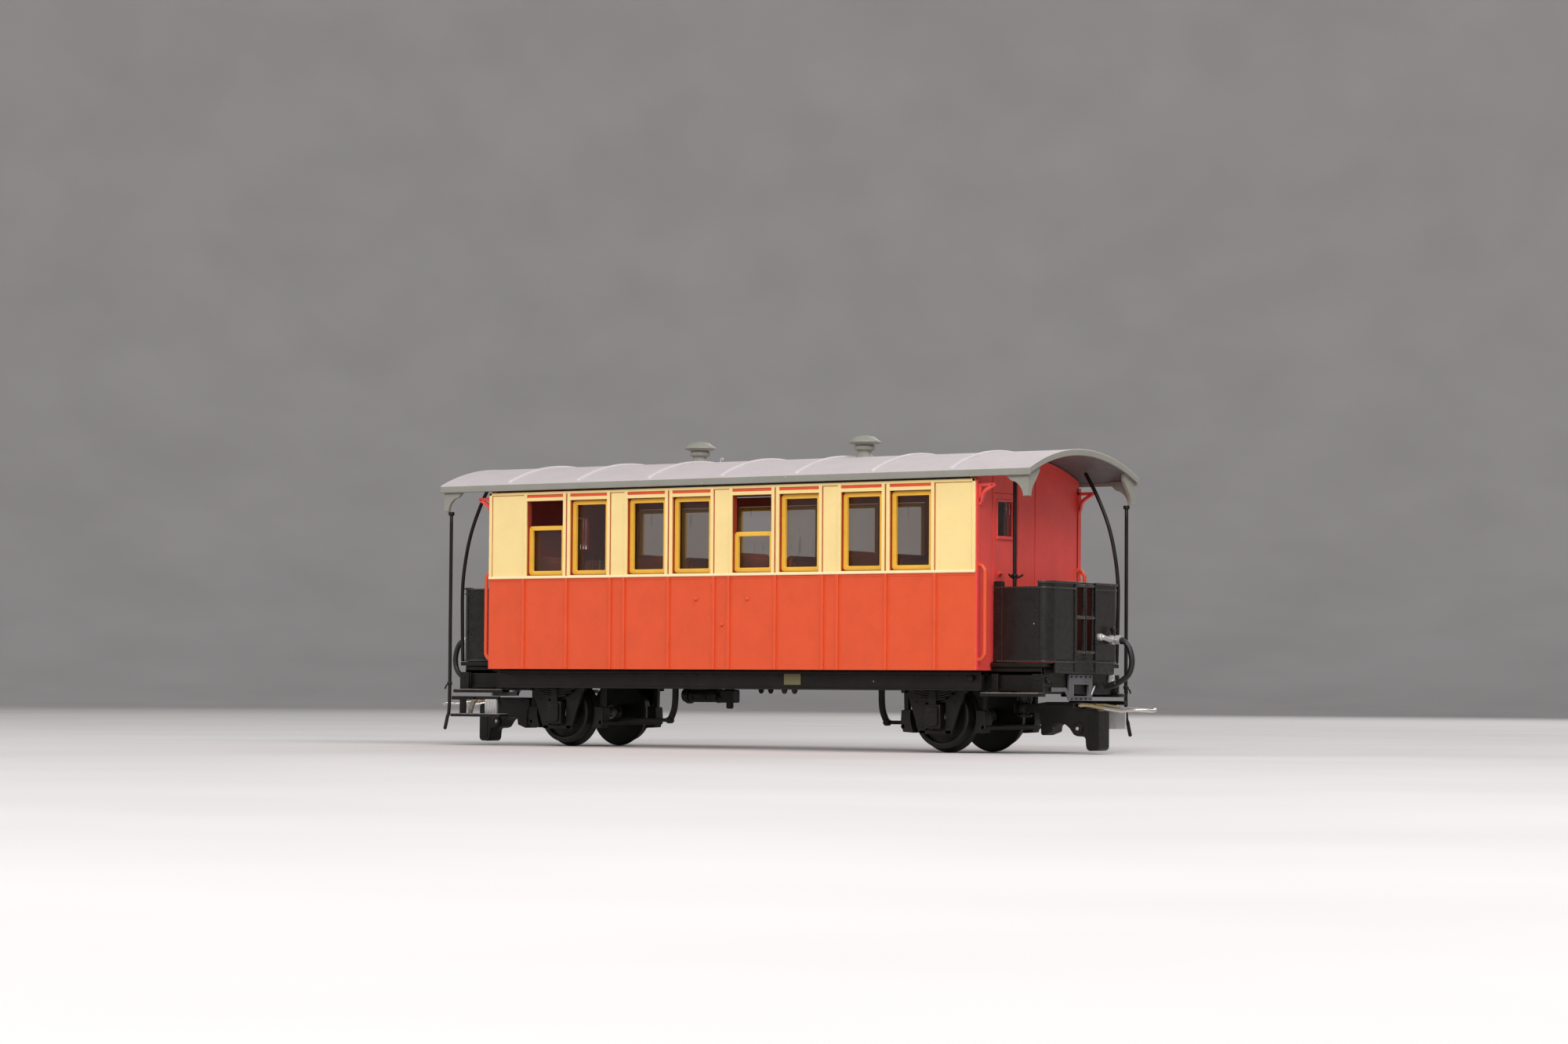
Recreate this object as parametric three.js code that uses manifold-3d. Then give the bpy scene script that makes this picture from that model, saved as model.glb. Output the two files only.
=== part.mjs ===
// A two-axle narrow-gauge passenger coach model at 1:87 with open end platforms.
// Millimetres, +Z up. X runs along the coach, the wheels stand at Z = 0, and the
// origin is under the middle of the coach. Both ends are the same moulding turned
// half a turn about Z, so each end is drawn once, at +X, and placed twice.
import * as THREE from "three";
import { mergeVertices } from "three/addons/utils/BufferGeometryUtils.js";
import Module from "manifold-3d";

const wasm = await Module();
wasm.setup();

// ---------------------------------------------------------------- driving dimensions
const GAP = 0.05; // between pieces that sit against each other
const OVER = 0.5; // how far a cutter runs past the face it cuts
const LAP = 0.1; // how far a piece sinks into the one it is joined to

const BODY = { halfLength: 39.1, halfWidth: 13.2, wall: 1.0, bottom: 10.5, top: 34.6 };
const WAIST = { bottom: 22.75, top: 23.1, proud: 0.15 };
const WINDOW = { width: 6.25, bottom: 23.2, top: 33.35, mullion: 1.2 };
const WINDOW_PAIRS = [-25.7, -8.6, 8.6, 25.7]; // middle of each pair of windows
const RIB = { width: 0.4, proud: 0.15, besidePair: 7.4 };
const SASH = { frame: 0.55, thick: 0.4, setBack: 0.45, fit: 0.06 };
const PANE = { thick: 0.25 };
const LOWERED = { 0: 29.95, 4: 28.55 }; // top of each half-lowered sash, by window number
const DOOR = { near: -9.1, far: -2.9, top: 33.0, bottom: 11.6, groove: 0.25, deep: 0.2 };
const DOOR_WINDOW = { near: -7.9, far: -3.9, bottom: 27.6, top: 32.0 };
const BOARD_JOINT = 1.45; // where the end wall's boards meet beside the door
const HANDLE = { y0: -8.6, y1: -7.3, bottom: 22.4, top: 22.9, proud: 0.45 };
const BRACKET = { inner: 12.25, outer: 12.75, top: 34.0, drop: 2.7, reach: 2.5, bar: 0.45 };

const BENCH = { middles: [-34.2, -17.1, 0, 17.1, 34.2], aisle: 2.4, outer: 11.6 };
const BENCH_BACK = { half: 0.5, top: 26.0 };
const BENCH_SEAT = { depth: 3.6, top: 16.4 };
const SALOON_FLOOR = { clear: 0.3, thick: 0.8 };
const BALLAST = { halfLength: 7, halfWidth: 9 };

const ROOF = { halfLength: 47.4, halfWidth: 14.0, eave: 35.05, thick: 0.65, rise: 3.0 };
const SEAM = { pitch: 11.87, width: 0.5, proud: 0.25, shortOfEave: 0.9 };
const LOCATOR = { halfLength: 37, inner: 11.2, outer: 11.9, bottom: 34.0 }; // ribs inside the walls
const GUSSET = { inset: 0.5, thick: 0.45, reach: 2.7, drop: 2.8, foot: 0.7 };
const VENTS = { left: -13.1, right: 13.75 };

const DECK = { top: 11.5, thick: 0.5, halfWidth: 9.7, end: 46.85 };
const FLOOR = { top: 10.45, thick: 0.55, halfWidth: 11.2 };
const PAN_UNDERSIDE = FLOOR.top - FLOOR.thick - GAP;
const SOLEBAR = { bottom: 7.95, thick: 0.8, outer: 11.2, shortOfFloor: 0.2 };
const SKIRT = { start: 38.6, outer: 9.2, thick: 0.6, end: 46.4, top: 10.2, plate: 9.9 };

const RAILING = { face: 47.4, thick: 0.4, halfWidth: 9.1, bottom: 10.2, top: 21.8, corner: 1.2 };
const RIM = { proud: 0.25, depth: 0.7 };
const RAILING_BACK = 46.0; // where the bent sheet meets the side panels
const GATE = { halfWidth: 2.4, bottom: 11.9, middle: 17.35, low: 12.9, stile: 0.4, bar: 0.3 };
const PANEL = { outer: 9.2, thick: 0.35, inner: 39.35, end: 45.95, lowTop: 21.1, highTop: 21.7 };
const POST = { width: 1.3, thick: 0.6, higher: 0.7 };
const POLE = { x: 46.1, y: 13.1, d: 0.5, bottom: 2.2 };
const STAY = { y: 9.45, d: 0.5 };
const COLUMN = { x: 41.9, y: -8.3, d: 0.55, wheelZ: 22.1, arm: 1.25, armR: 0.14 };
const RAIL = { y: 12.55, reach: 1.0, d: 0.5, bottom: 11.85, top: 23.75 };

const STEP = { thick: 0.5, top: 7.75, x0: 38.4, x1: 47.1, y0: 9.35, y1: 11.0 };
const STEP_HANGERS = { spans: [[39.4, 40.4], [45.3, 46.9]], top: 10.1, thick: 0.5 };
const LOW_STEP = { thick: 0.45, top: 4.4, x0: 37.0, x1: 45.7, y0: 11.3, y1: 13.3 };
const RISER = { y0: 11.2, y1: 11.6, plate: [38.9, 40.9], post: [44.4, 45.6], top: 6.4 };
const RISER_RAIL = { x0: 38.6, x1: 46.9, y0: 11.05, bottom: 6.25, top: 6.75 };
const RISER_STRUT = { foot: [43.2, 44.0], head: [42.4, 43.2], top: 6.7 };

const BEAM = { x0: 45.6, x1: 46.4, halfWidth: 8.4, bottom: 7.6, top: 10 };
const PLATE = { x0: 46.5, x1: 46.8, halfWidth: 2.95, bottom: 6.8, top: 10.1 };
const PLATE_HOLE = { halfWidth: 1.95, bottom: 7.35, top: 8.85 };
const PLATE_RIVET = { places: [-2.4, -1.2, 0, 1.2, 2.4], r: 0.14, inset: 0.35, proud: 0.12 };
const COCK = { y0: 3.2, y1: 7.2, z: 14.6, pipeR: 0.32, pipeX: 0.6 };
const COCK_BODY = { y: 6.0, r: 0.6, x0: 0.2, x1: 1.7 };
const COCK_BOSS = { y: 3.4, z: 14.9, r: 0.4, length: 0.5 };
const COCK_HANDLE = { x0: 0.4, x1: 0.8, y0: 5.8, y1: 6.3, bottom: 14.8, top: 16.3 };
const HOSE_D = 0.75;

const AXLE_X = 30.5;
const WHEEL = { flangeR: 4.65, treadR: 4.1, back: 5.1, flange: 0.7, tread: 1.5, boreR: 0.75 };
const AXLE = { r: 0.7, shoulder: 7.8, journalR: 0.4, journalEnd: 9.2 };
const W_IRON = { inner: 8.3, thick: 0.5, topHalf: 4.4, footHalf: 2.4, foot: 2.4 };
const AXLEBOX = { half: 1.2, bottom: 3.1, top: 6.2, outer: 9.9 };
const BUCKLE = { half: 0.7, top: 6.9, inset: 0.3 }; // clamp between axlebox and spring
const LEAF = { half: 4.6, middle: 6.6, quarter: 6.9, end: 7.9, top: 8.3, thick: 0.7 };
const BEARING = { start: 8, beyond: 0.2, r: 0.46 }; // runs clear of the 0.4 mm journal
const SHOE = { gap: 0.3, thick: 1.4, halfHeight: 1.5, y0: 5.3, y1: 7.0, z: 4.0 };
const SHOE_HANGER = { near: 0.5, far: 1.2, inset: 0.5 };
const SHOE_BEAM = { offset: 1.1, drop: 0.7, r: 0.35 };
const PULL_ROD = { reach: 6.2, y0: 2.6, y1: 3.2, bottom: 2.9, top: 3.5 };
const LEVER = { x0: 14.4, x1: 15.2, link: [3.4, 4.0], eye: [14.2, 16.2, 5.2], shaft: 4.4 };
const CYLINDER = { x0: -16.9, x1: -10.9, y: 2, z: 7.1, r: 0.95 };
const CYLINDER_FLANGE = { x0: -16.2, x1: -15.6, r: 1.15 };
const CYLINDER_ROD = { end: -10.5, r: 0.4 };
const CYLINDER_SEAT = { x0: -15.4, x1: -12.4, half: 0.6, bottom: 7.4 };
const VALVE = { x0: -10.3, x1: -8.1, y: 2, half: 0.9, bottom: 6.1, top: 7.9 };
const VALVE_SEAT = { x0: -9.8, x1: -8.7, half: 0.5, bottom: 7.5 };
const VALVE_DRAIN = { x: -9.2, r: 0.5, bottom: 5.3, top: 6.3 };

const COUPLER_PIN = { x: 38.5, r: 0.5, holeR: 0.6, bottom: 4.9, top: 7.3, headR: 1.0 };
const COUPLER = { halfWidth: 1.35, top: 6.6, bottom: 0.45, shank: [5.2, 6.4], shankHalf: 1.1 };
const COUPLER_EYE_R = 1.4;
const COUPLER_BOSS = { x: 47.1, z: 3.24, r: 0.75, holeR: 0.32, halfWidth: 1.55 };
const COUPLER_TONGUE = { x0: 46.6, x1: 48.6, halfWidth: 0.95, bottom: 5.85 };
const HEAD_PIN = { x: 47.6, z: 6.15, r: 0.25, holeR: 0.31 };
const HOOP = { halfWidth: 2.3, front: 57.4, bar: 0.4, drop: 0.8, eye: 0.35, corner: 1.6 };

// ---------------------------------------------------------------- materials
const PAINT = {
  red: { color: 0xe0552f, roughness: 0.45, metalness: 0.0 },
  roofGrey: { color: 0xc6bec2, roughness: 0.6, metalness: 0.0 },
  black: { color: 0x262422, roughness: 0.5, metalness: 0.0 },
  ochre: { color: 0xe4b23c, roughness: 0.4, metalness: 0.0 },
  brown: { color: 0x6e3c2d, roughness: 0.6, metalness: 0.0 },
  clear: { color: 0xdfe8ea, roughness: 0.05, metalness: 0.0, transparent: true, opacity: 0.35 },
  steel: { color: 0x9c9a94, roughness: 0.35, metalness: 0.9 },
  zinc: { color: 0x8d8a88, roughness: 0.5, metalness: 0.5 },
  brass: { color: 0xc9a85a, roughness: 0.3, metalness: 0.9 },
  rubber: { color: 0x1c1b1a, roughness: 0.7, metalness: 0.0 },
};

function part(name, paint, geometry) {
  const mesh = new THREE.Mesh(geometry, new THREE.MeshStandardMaterial(PAINT[paint]));
  mesh.name = name;
  return mesh;
}

// ---------------------------------------------------------------- shape helpers
function box(x0, x1, y0, y1, z0, z1) {
  const geometry = new THREE.BoxGeometry(x1 - x0, y1 - y0, z1 - z0);
  return geometry.translate((x0 + x1) / 2, (y0 + y1) / 2, (z0 + z1) / 2);
}

function outline(points) {
  return new THREE.Shape(points.map(([a, b]) => new THREE.Vector2(a, b)));
}

const flat = (depth, curveSegments = 8) => ({ depth, curveSegments, bevelEnabled: false });

// A shape drawn in X and Z, made solid from y0 to y1.
function slabXZ(shape, y0, y1, segments) {
  const geometry = new THREE.ExtrudeGeometry(shape, flat(y1 - y0, segments));
  return geometry.rotateX(Math.PI / 2).translate(0, y1, 0);
}

// A shape drawn in Y and Z, made solid from x0 to x1.
function slabYZ(shape, x0, x1, segments) {
  const geometry = new THREE.ExtrudeGeometry(shape, flat(x1 - x0, segments));
  return geometry.rotateZ(Math.PI / 2).rotateY(Math.PI / 2).translate(x0, 0, 0);
}

// A shape drawn in X and Y, made solid from z0 to z1.
function slabXY(shape, z0, z1, segments) {
  return new THREE.ExtrudeGeometry(shape, flat(z1 - z0, segments)).translate(0, 0, z0);
}

function barX(x0, x1, y, z, r, sides = 12) {
  const geometry = new THREE.CylinderGeometry(r, r, x1 - x0, sides);
  return geometry.rotateZ(Math.PI / 2).translate((x0 + x1) / 2, y, z);
}

function barY(y0, y1, x, z, r, sides = 12) {
  return new THREE.CylinderGeometry(r, r, y1 - y0, sides).translate(x, (y0 + y1) / 2, z);
}

function barZ(z0, z1, x, y, r, sides = 12) {
  const geometry = new THREE.CylinderGeometry(r, r, z1 - z0, sides);
  return geometry.rotateX(Math.PI / 2).translate(x, y, (z0 + z1) / 2);
}

// A round rod along a smooth curve through the points.
function rod(points, diameter, steps) {
  const path = new THREE.CatmullRomCurve3(points.map((p) => new THREE.Vector3(...p)));
  const section = new THREE.Shape().absarc(0, 0, diameter / 2, 0, 2 * Math.PI);
  return new THREE.ExtrudeGeometry(section, {
    steps,
    curveSegments: 4,
    extrudePath: path,
    bevelEnabled: false,
  });
}

// ---------------------------------------------------------------- joins and cuts
function solid(geometry) {
  const bare = geometry.clone();
  bare.deleteAttribute("normal");
  bare.deleteAttribute("uv");
  const merged = mergeVertices(bare, 1e-4);
  const mesh = new wasm.Mesh({
    numProp: 3,
    vertProperties: merged.attributes.position.array,
    triVerts: new Uint32Array(merged.index.array),
  });
  return new wasm.Manifold(mesh);
}

function geometryOf(body) {
  const mesh = body.getMesh();
  const geometry = new THREE.BufferGeometry();
  geometry.setAttribute("position", new THREE.BufferAttribute(mesh.vertProperties, 3));
  geometry.setIndex(new THREE.BufferAttribute(mesh.triVerts, 1));
  return geometry;
}

// The joined pieces, less the cutters.
function shaped(pieces, cutters = []) {
  let body = solid(pieces[0]);
  for (const piece of pieces.slice(1)) body = body.add(solid(piece));
  for (const cutter of cutters) body = body.subtract(solid(cutter));
  return geometryOf(body);
}

const bothSides = (make) => [make(-1), make(1)];

// A box that lies between two distances from the middle, on one side of the coach.
function sideBox(side, x0, x1, inner, outer, z0, z1) {
  return side < 0 ? box(x0, x1, -outer, -inner, z0, z1) : box(x0, x1, inner, outer, z0, z1);
}

// ---------------------------------------------------------------- body shell
const windowMiddles = WINDOW_PAIRS.flatMap((pair) => {
  const offset = (WINDOW.width + WINDOW.mullion) / 2;
  return [pair - offset, pair + offset];
});

function windowCutters(side) {
  return windowMiddles.map((x) =>
    sideBox(
      side,
      x - WINDOW.width / 2,
      x + WINDOW.width / 2,
      BODY.halfWidth - BODY.wall - OVER,
      BODY.halfWidth + OVER,
      WINDOW.bottom,
      WINDOW.top,
    ),
  );
}

function sideRibs(side) {
  const places = WINDOW_PAIRS.flatMap((pair) => [
    pair - RIB.besidePair,
    pair,
    pair + RIB.besidePair,
  ]);
  return places.map((x) =>
    sideBox(
      side,
      x - RIB.width / 2,
      x + RIB.width / 2,
      BODY.halfWidth - LAP,
      BODY.halfWidth + RIB.proud,
      BODY.bottom,
      WAIST.bottom + LAP,
    ),
  );
}

// The underside of the roof at a distance y from the middle.
const ARCH_STEPS = 16;
const archRadius = (ROOF.halfWidth ** 2 + ROOF.rise ** 2) / (2 * ROOF.rise);
function roofUnderside(y) {
  return ROOF.eave + ROOF.rise - archRadius + Math.sqrt(archRadius ** 2 - y ** 2);
}

// An outline in Y and Z: the arch above, a straight line at the given height below.
function archOutline(halfWidth, bottom, lift, steps) {
  const points = [];
  for (let i = 0; i <= steps; i += 1) {
    const y = halfWidth * (1 - (2 * i) / steps);
    points.push([y, roofUnderside(y) + lift]);
  }
  points.push([-halfWidth, bottom], [halfWidth, bottom]);
  return outline(points);
}

// The end wall's cuts: grooves round the door, a joint beside it and the door's window.
function doorGrooves(x) {
  const groove = (y0, y1, z0, z1) => box(x - DOOR.deep, x + OVER, y0, y1, z0, z1);
  return [
    groove(DOOR.near - DOOR.groove, DOOR.near, DOOR.bottom, DOOR.top),
    groove(DOOR.far, DOOR.far + DOOR.groove, DOOR.bottom, DOOR.top),
    groove(DOOR.near, DOOR.far, DOOR.top - DOOR.groove, DOOR.top),
    groove(BOARD_JOINT, BOARD_JOINT + DOOR.groove, DOOR.bottom, DOOR.top),
    box(
      x - BODY.wall - OVER,
      x + OVER,
      DOOR_WINDOW.near,
      DOOR_WINDOW.far,
      DOOR_WINDOW.bottom,
      DOOR_WINDOW.top,
    ),
  ];
}

const halfTurn = (geometry) => geometry.rotateZ(Math.PI);

// Openwork bracket: a right angle with a curved brace across it.
function roofBracket(y0, y1) {
  const { top, drop, reach, bar } = BRACKET;
  const x = BODY.halfLength - LAP;
  const shape = new THREE.Shape();
  shape.moveTo(x, top);
  shape.lineTo(x, top - drop);
  shape.lineTo(x + bar, top - drop);
  shape.quadraticCurveTo(x + 0.7, top - 0.75, x + reach, top - bar);
  shape.lineTo(x + reach, top);
  const hole = new THREE.Path();
  hole.moveTo(x + bar, top - bar);
  hole.lineTo(x + 1.3, top - bar);
  hole.quadraticCurveTo(x + 0.8, top - 0.8, x + bar, top - 1.4);
  shape.holes.push(hole);
  return slabXZ(shape, y0, y1, 5);
}

function bodyShell() {
  const { halfLength: hl, halfWidth: hw, wall, bottom, top } = BODY;
  const gable = () => slabYZ(archOutline(hw - 0.4, top - 2, -0.1, ARCH_STEPS), hl - wall, hl);
  const handle = () =>
    box(hl - LAP, hl + HANDLE.proud, HANDLE.y0, HANDLE.y1, HANDLE.bottom, HANDLE.top);
  const pieces = [
    box(-hl, hl, -hw, hw, bottom, top),
    ...bothSides((s) =>
      sideBox(s, -hl, hl, hw - LAP, hw + WAIST.proud, WAIST.bottom, WAIST.top),
    ),
    ...sideRibs(-1),
    ...sideRibs(1),
  ];
  const hollow = box(-hl + wall, hl - wall, -hw + wall, hw - wall, bottom - OVER, top + OVER);
  const walls = shaped(pieces, [hollow, ...windowCutters(-1), ...windowCutters(1)]);
  const { inner, outer } = BRACKET;
  const oneEnd = [gable, handle, () => roofBracket(-outer, -inner), () => roofBracket(inner, outer)];
  const ends = oneEnd.flatMap((make) => [make(), halfTurn(make())]);
  return shaped([walls, ...ends], [...doorGrooves(hl), ...doorGrooves(hl).map(halfTurn)]);
}

// ---------------------------------------------------------------- windows
function sashTop(number, near) {
  const lowered = near ? LOWERED[number] : undefined;
  return lowered ?? WINDOW.top - SASH.fit;
}

// The sash frames stand in the openings and share a rail inside the wall.
function sashes(side) {
  const outer = BODY.halfWidth - SASH.setBack;
  const back = BODY.halfWidth - BODY.wall - GAP;
  const inner = back - PANE.thick;
  const low = WINDOW.bottom + SASH.fit;
  const frames = windowMiddles.map((x, number) => {
    const half = WINDOW.width / 2 - SASH.fit;
    const high = sashTop(number, side < 0);
    const frame = outline([
      [x - half, low],
      [x + half, low],
      [x + half, high],
      [x - half, high],
    ]);
    const f = SASH.frame;
    const hole = outline([
      [x - half + f, low + f],
      [x - half + f, high - f],
      [x + half - f, high - f],
      [x + half - f, low + f],
    ]);
    frame.holes.push(hole);
    const [y0, y1] = side < 0 ? [-outer, -outer + SASH.thick] : [outer - SASH.thick, outer];
    const foot = sideBox(side, x - half, x + half, inner, outer - 0.1, low, low + f);
    return [slabXZ(frame, y0, y1), foot];
  });
  const end = windowMiddles.at(-1) + 3;
  const carrier = sideBox(side, -end, end, inner, back, low - 0.9, low + SASH.frame);
  return shaped([carrier, ...frames.flat()]);
}

// One clear strip inside the wall, open above each half-lowered sash.
function panes(side) {
  const outer = BODY.halfWidth - BODY.wall - GAP;
  const end = windowMiddles.at(-1) + WINDOW.width / 2 + 1;
  const low = WINDOW.bottom + SASH.fit + SASH.frame + GAP;
  const strip = sideBox(side, -end, end, outer - PANE.thick, outer, low, WINDOW.top + 0.6);
  const half = WINDOW.width / 2 - SASH.fit;
  const openings = Object.keys(LOWERED).map((number) => {
    const x = windowMiddles[number];
    return box(x - half, x + half, -outer - 1, -outer + 1, LOWERED[number], WINDOW.top);
  });
  return shaped([strip], side < 0 ? openings : []);
}

function doorPane() {
  const x = BODY.halfLength - 0.6;
  const { near, far, bottom, top } = DOOR_WINDOW;
  return box(x, x + PANE.thick, near + GAP, far - GAP, bottom + GAP, top - GAP);
}

// ---------------------------------------------------------------- roof
function gussetOutline() {
  const { reach, drop, foot } = GUSSET;
  const shape = new THREE.Shape();
  shape.moveTo(0, 0.4);
  shape.lineTo(-reach, 0.4);
  shape.lineTo(-reach, 0);
  shape.quadraticCurveTo(-foot - 0.2, -0.2, -foot, -drop);
  shape.lineTo(0, -drop);
  return shape;
}

// The L of two plates under one corner of the roof.
function gusset(xSign, ySign) {
  const x = ROOF.halfLength - GUSSET.inset;
  const y = ROOF.halfWidth - GUSSET.inset;
  const along = slabXZ(gussetOutline(), y - GUSSET.thick, y, 5).translate(x, 0, ROOF.eave);
  const across = slabYZ(gussetOutline(), x - GUSSET.thick, x, 5).translate(0, y, ROOF.eave);
  const corner = shaped([along, across]);
  if (xSign * ySign > 0) return xSign > 0 ? corner : halfTurn(corner);
  return shaped([mirrored(corner, xSign, ySign)]);
}

// The geometry reflected through the planes named by a sign of -1, faces still out.
function mirrored(geometry, xSign, ySign) {
  const copy = geometry.clone().scale(xSign, ySign, 1);
  if (xSign * ySign > 0) return copy;
  const index = copy.index.array;
  for (let i = 0; i < index.length; i += 3) {
    [index[i + 1], index[i + 2]] = [index[i + 2], index[i + 1]];
  }
  return copy;
}

function roof() {
  const { halfLength, halfWidth, thick, eave } = ROOF;
  const section = archOutline(halfWidth, eave - 1, thick, ARCH_STEPS);
  const cover = slabYZ(section, -halfLength, halfLength);
  const under = slabYZ(
    archOutline(halfWidth + OVER, eave - 2, 0, ARCH_STEPS),
    -halfLength - OVER,
    halfLength + OVER,
  );
  const seams = [-3, -2, -1, 0, 1, 2, 3].map((n) =>
    slabYZ(
      archOutline(halfWidth - SEAM.shortOfEave, eave + 0.2, thick + SEAM.proud, ARCH_STEPS),
      n * SEAM.pitch - SEAM.width / 2,
      n * SEAM.pitch + SEAM.width / 2,
    ),
  );
  const { halfLength: hl, inner, outer, bottom } = LOCATOR;
  const locators = bothSides((s) => sideBox(s, -hl, hl, inner, outer, bottom, eave + 1.1));
  const gussets = [gusset(1, 1), gusset(1, -1), gusset(-1, 1), gusset(-1, -1)];
  const shell = shaped([cover, ...seams], [under]);
  return shaped([shell, ...locators, ...gussets]);
}

function ventilator(x) {
  const base = roofUnderside(0) + ROOF.thick + GAP;
  const profile = [
    [0, 0],
    [0.9, 0],
    [0.9, 0.8],
    [1.4, 0.85],
    [1.4, 1.5],
    [1.95, 1.55],
    [2.2, 1.9],
    [2.0, 2.4],
    [1.2, 2.8],
    [0, 2.9],
  ];
  const points = profile.map(([r, z]) => new THREE.Vector2(r, z));
  return new THREE.LatheGeometry(points, 12).rotateX(Math.PI / 2).translate(x, 0, base);
}

// ---------------------------------------------------------------- inside
// Floor with back-to-back benches under the posts between the window pairs.
function interior() {
  const inside = BODY.halfLength - BODY.wall - SALOON_FLOOR.clear;
  const { middles, aisle, outer } = BENCH;
  const floor = FLOOR.top + GAP;
  const foot = floor + SALOON_FLOOR.thick - LAP;
  const seat = (x, way, side) => {
    const front = x + way * (BENCH_BACK.half - LAP + BENCH_SEAT.depth);
    return sideBox(side, Math.min(x, front), Math.max(x, front), aisle, outer, foot, BENCH_SEAT.top);
  };
  const fits = (x, way) => Math.abs(x + way * BENCH_SEAT.depth) < inside;
  const benches = [-1, 1].flatMap((side) =>
    middles.flatMap((x) => [
      sideBox(side, x - BENCH_BACK.half, x + BENCH_BACK.half, aisle, outer, foot, BENCH_BACK.top),
      ...[-1, 1].filter((way) => fits(x, way)).map((way) => seat(x, way, side)),
    ]),
  );
  const base = box(-inside, inside, -outer, outer, floor, floor + SALOON_FLOOR.thick);
  return shaped([base, ...benches]);
}

function ballast() {
  const { halfLength: hl, halfWidth: hw } = BALLAST;
  return box(-hl, hl, -hw, hw, SOLEBAR.bottom + GAP, PAN_UNDERSIDE);
}

// ---------------------------------------------------------------- underframe
function wIron(side) {
  const { inner, thick, topHalf, footHalf, foot } = W_IRON;
  const top = FLOOR.top - SOLEBAR.shortOfFloor;
  const plate = outline([
    [-footHalf, foot],
    [footHalf, foot],
    [topHalf, SOLEBAR.bottom],
    [topHalf, top],
    [-topHalf, top],
    [-topHalf, SOLEBAR.bottom],
  ]);
  const [y0, y1] = side < 0 ? [-inner - thick, -inner] : [inner, inner + thick];
  return slabXZ(plate, y0, y1);
}

// Leaf spring: an arc of constant thickness over the axlebox.
function leafSpring(side) {
  const { half, middle, quarter, end, top, thick } = LEAF;
  const spring = outline([
    [-half, end],
    [-half / 2, quarter],
    [0, middle],
    [half / 2, quarter],
    [half, end],
    [half, top],
    [-half, top],
  ]);
  const y = W_IRON.inner + W_IRON.thick - LAP;
  const [y0, y1] = side < 0 ? [-y - thick, -y] : [y, y + thick];
  return slabXZ(spring, y0, y1);
}

function axleGuard(x, side) {
  const { half, bottom, top, outer } = AXLEBOX;
  const { half: clamp, top: clampTop, inset } = BUCKLE;
  const back = W_IRON.inner + 0.2;
  return [
    wIron(side).translate(x, 0, 0),
    leafSpring(side).translate(x, 0, 0),
    sideBox(side, x - half, x + half, back, outer, bottom, top),
    sideBox(side, x - clamp, x + clamp, back, outer - inset, top - LAP, clampTop),
  ];
}

function platformFrame(sign) {
  const { start, end, outer, thick, plate, top } = SKIRT;
  const { top: deckTop, thick: deckThick, halfWidth: deckHalf } = DECK;
  const deckBottom = deckTop - deckThick;
  const inner = BODY.halfLength + LAP;
  const pieces = [
    box(start - 2, end, -outer, outer, plate, FLOOR.top),
    box(inner, end, -outer, outer, FLOOR.top - LAP, deckBottom + LAP),
    box(inner, DECK.end, -deckHalf, deckHalf, deckBottom, deckTop),
    box(BEAM.x0, BEAM.x1, -BEAM.halfWidth, BEAM.halfWidth, BEAM.bottom, BEAM.top),
    ...bothSides((s) => sideBox(s, start, end, outer - thick, outer, SOLEBAR.bottom, top)),
  ];
  return sign < 0 ? pieces.map(halfTurn) : pieces;
}

function underframe() {
  const length = BODY.halfLength - 0.3;
  const pieces = [
    box(-length, length, -FLOOR.halfWidth, FLOOR.halfWidth, FLOOR.top - FLOOR.thick, FLOOR.top),
    ...bothSides((s) =>
      sideBox(
        s,
        -length,
        length,
        SOLEBAR.outer - SOLEBAR.thick,
        SOLEBAR.outer,
        SOLEBAR.bottom,
        FLOOR.top - SOLEBAR.shortOfFloor,
      ),
    ),
    ...platformFrame(1),
    ...platformFrame(-1),
    ...[-AXLE_X, AXLE_X].flatMap((x) => bothSides((s) => axleGuard(x, s)).flat()),
  ];
  const bearings = [-AXLE_X, AXLE_X].flatMap((x) =>
    bothSides((s) => {
      const end = AXLE.journalEnd + BEARING.beyond;
      const [y0, y1] = s < 0 ? [-end, -BEARING.start] : [BEARING.start, end];
      return barY(y0, y1, x, WHEEL.flangeR, BEARING.r, 16);
    }),
  );
  return shaped(pieces, bearings);
}

// ---------------------------------------------------------------- running gear
// Wheel at -Y: flange against the back-to-back plane, tread outside it.
function wheel() {
  const { flangeR, treadR, back, flange, tread, boreR } = WHEEL;
  const points = [
    [boreR, 0],
    [flangeR - 0.25, 0],
    [flangeR, 0.25],
    [flangeR, 0.4],
    [treadR + 0.05, flange],
    [treadR, flange + tread],
    [treadR - 0.7, flange + tread],
    [treadR - 0.8, flange + tread - 0.5],
    [1.5, flange + tread - 0.5],
    [1.4, flange + tread],
    [boreR, flange + tread],
    [boreR, 0],
  ];
  const profile = points.map(([r, y]) => new THREE.Vector2(r, y));
  return new THREE.LatheGeometry(profile, 24).translate(0, back, 0);
}

function axle() {
  const { r, shoulder, journalR, journalEnd } = AXLE;
  const points = [
    [0, -journalEnd],
    [journalR, -journalEnd],
    [journalR, -shoulder],
    [r, -shoulder],
    [r, shoulder],
    [journalR, shoulder],
    [journalR, journalEnd],
    [0, journalEnd],
  ];
  return new THREE.LatheGeometry(points.map(([a, b]) => new THREE.Vector2(a, b)), 16);
}

function wheelset(end, x) {
  const group = new THREE.Group();
  group.position.set(x, 0, WHEEL.flangeR);
  const near = part(`wheel_near_${end}`, "black", wheel());
  near.rotation.z = Math.PI;
  group.add(near);
  group.add(part(`wheel_far_${end}`, "black", wheel()));
  group.add(part(`axle_${end}`, "steel", axle()));
  return group;
}

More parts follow.
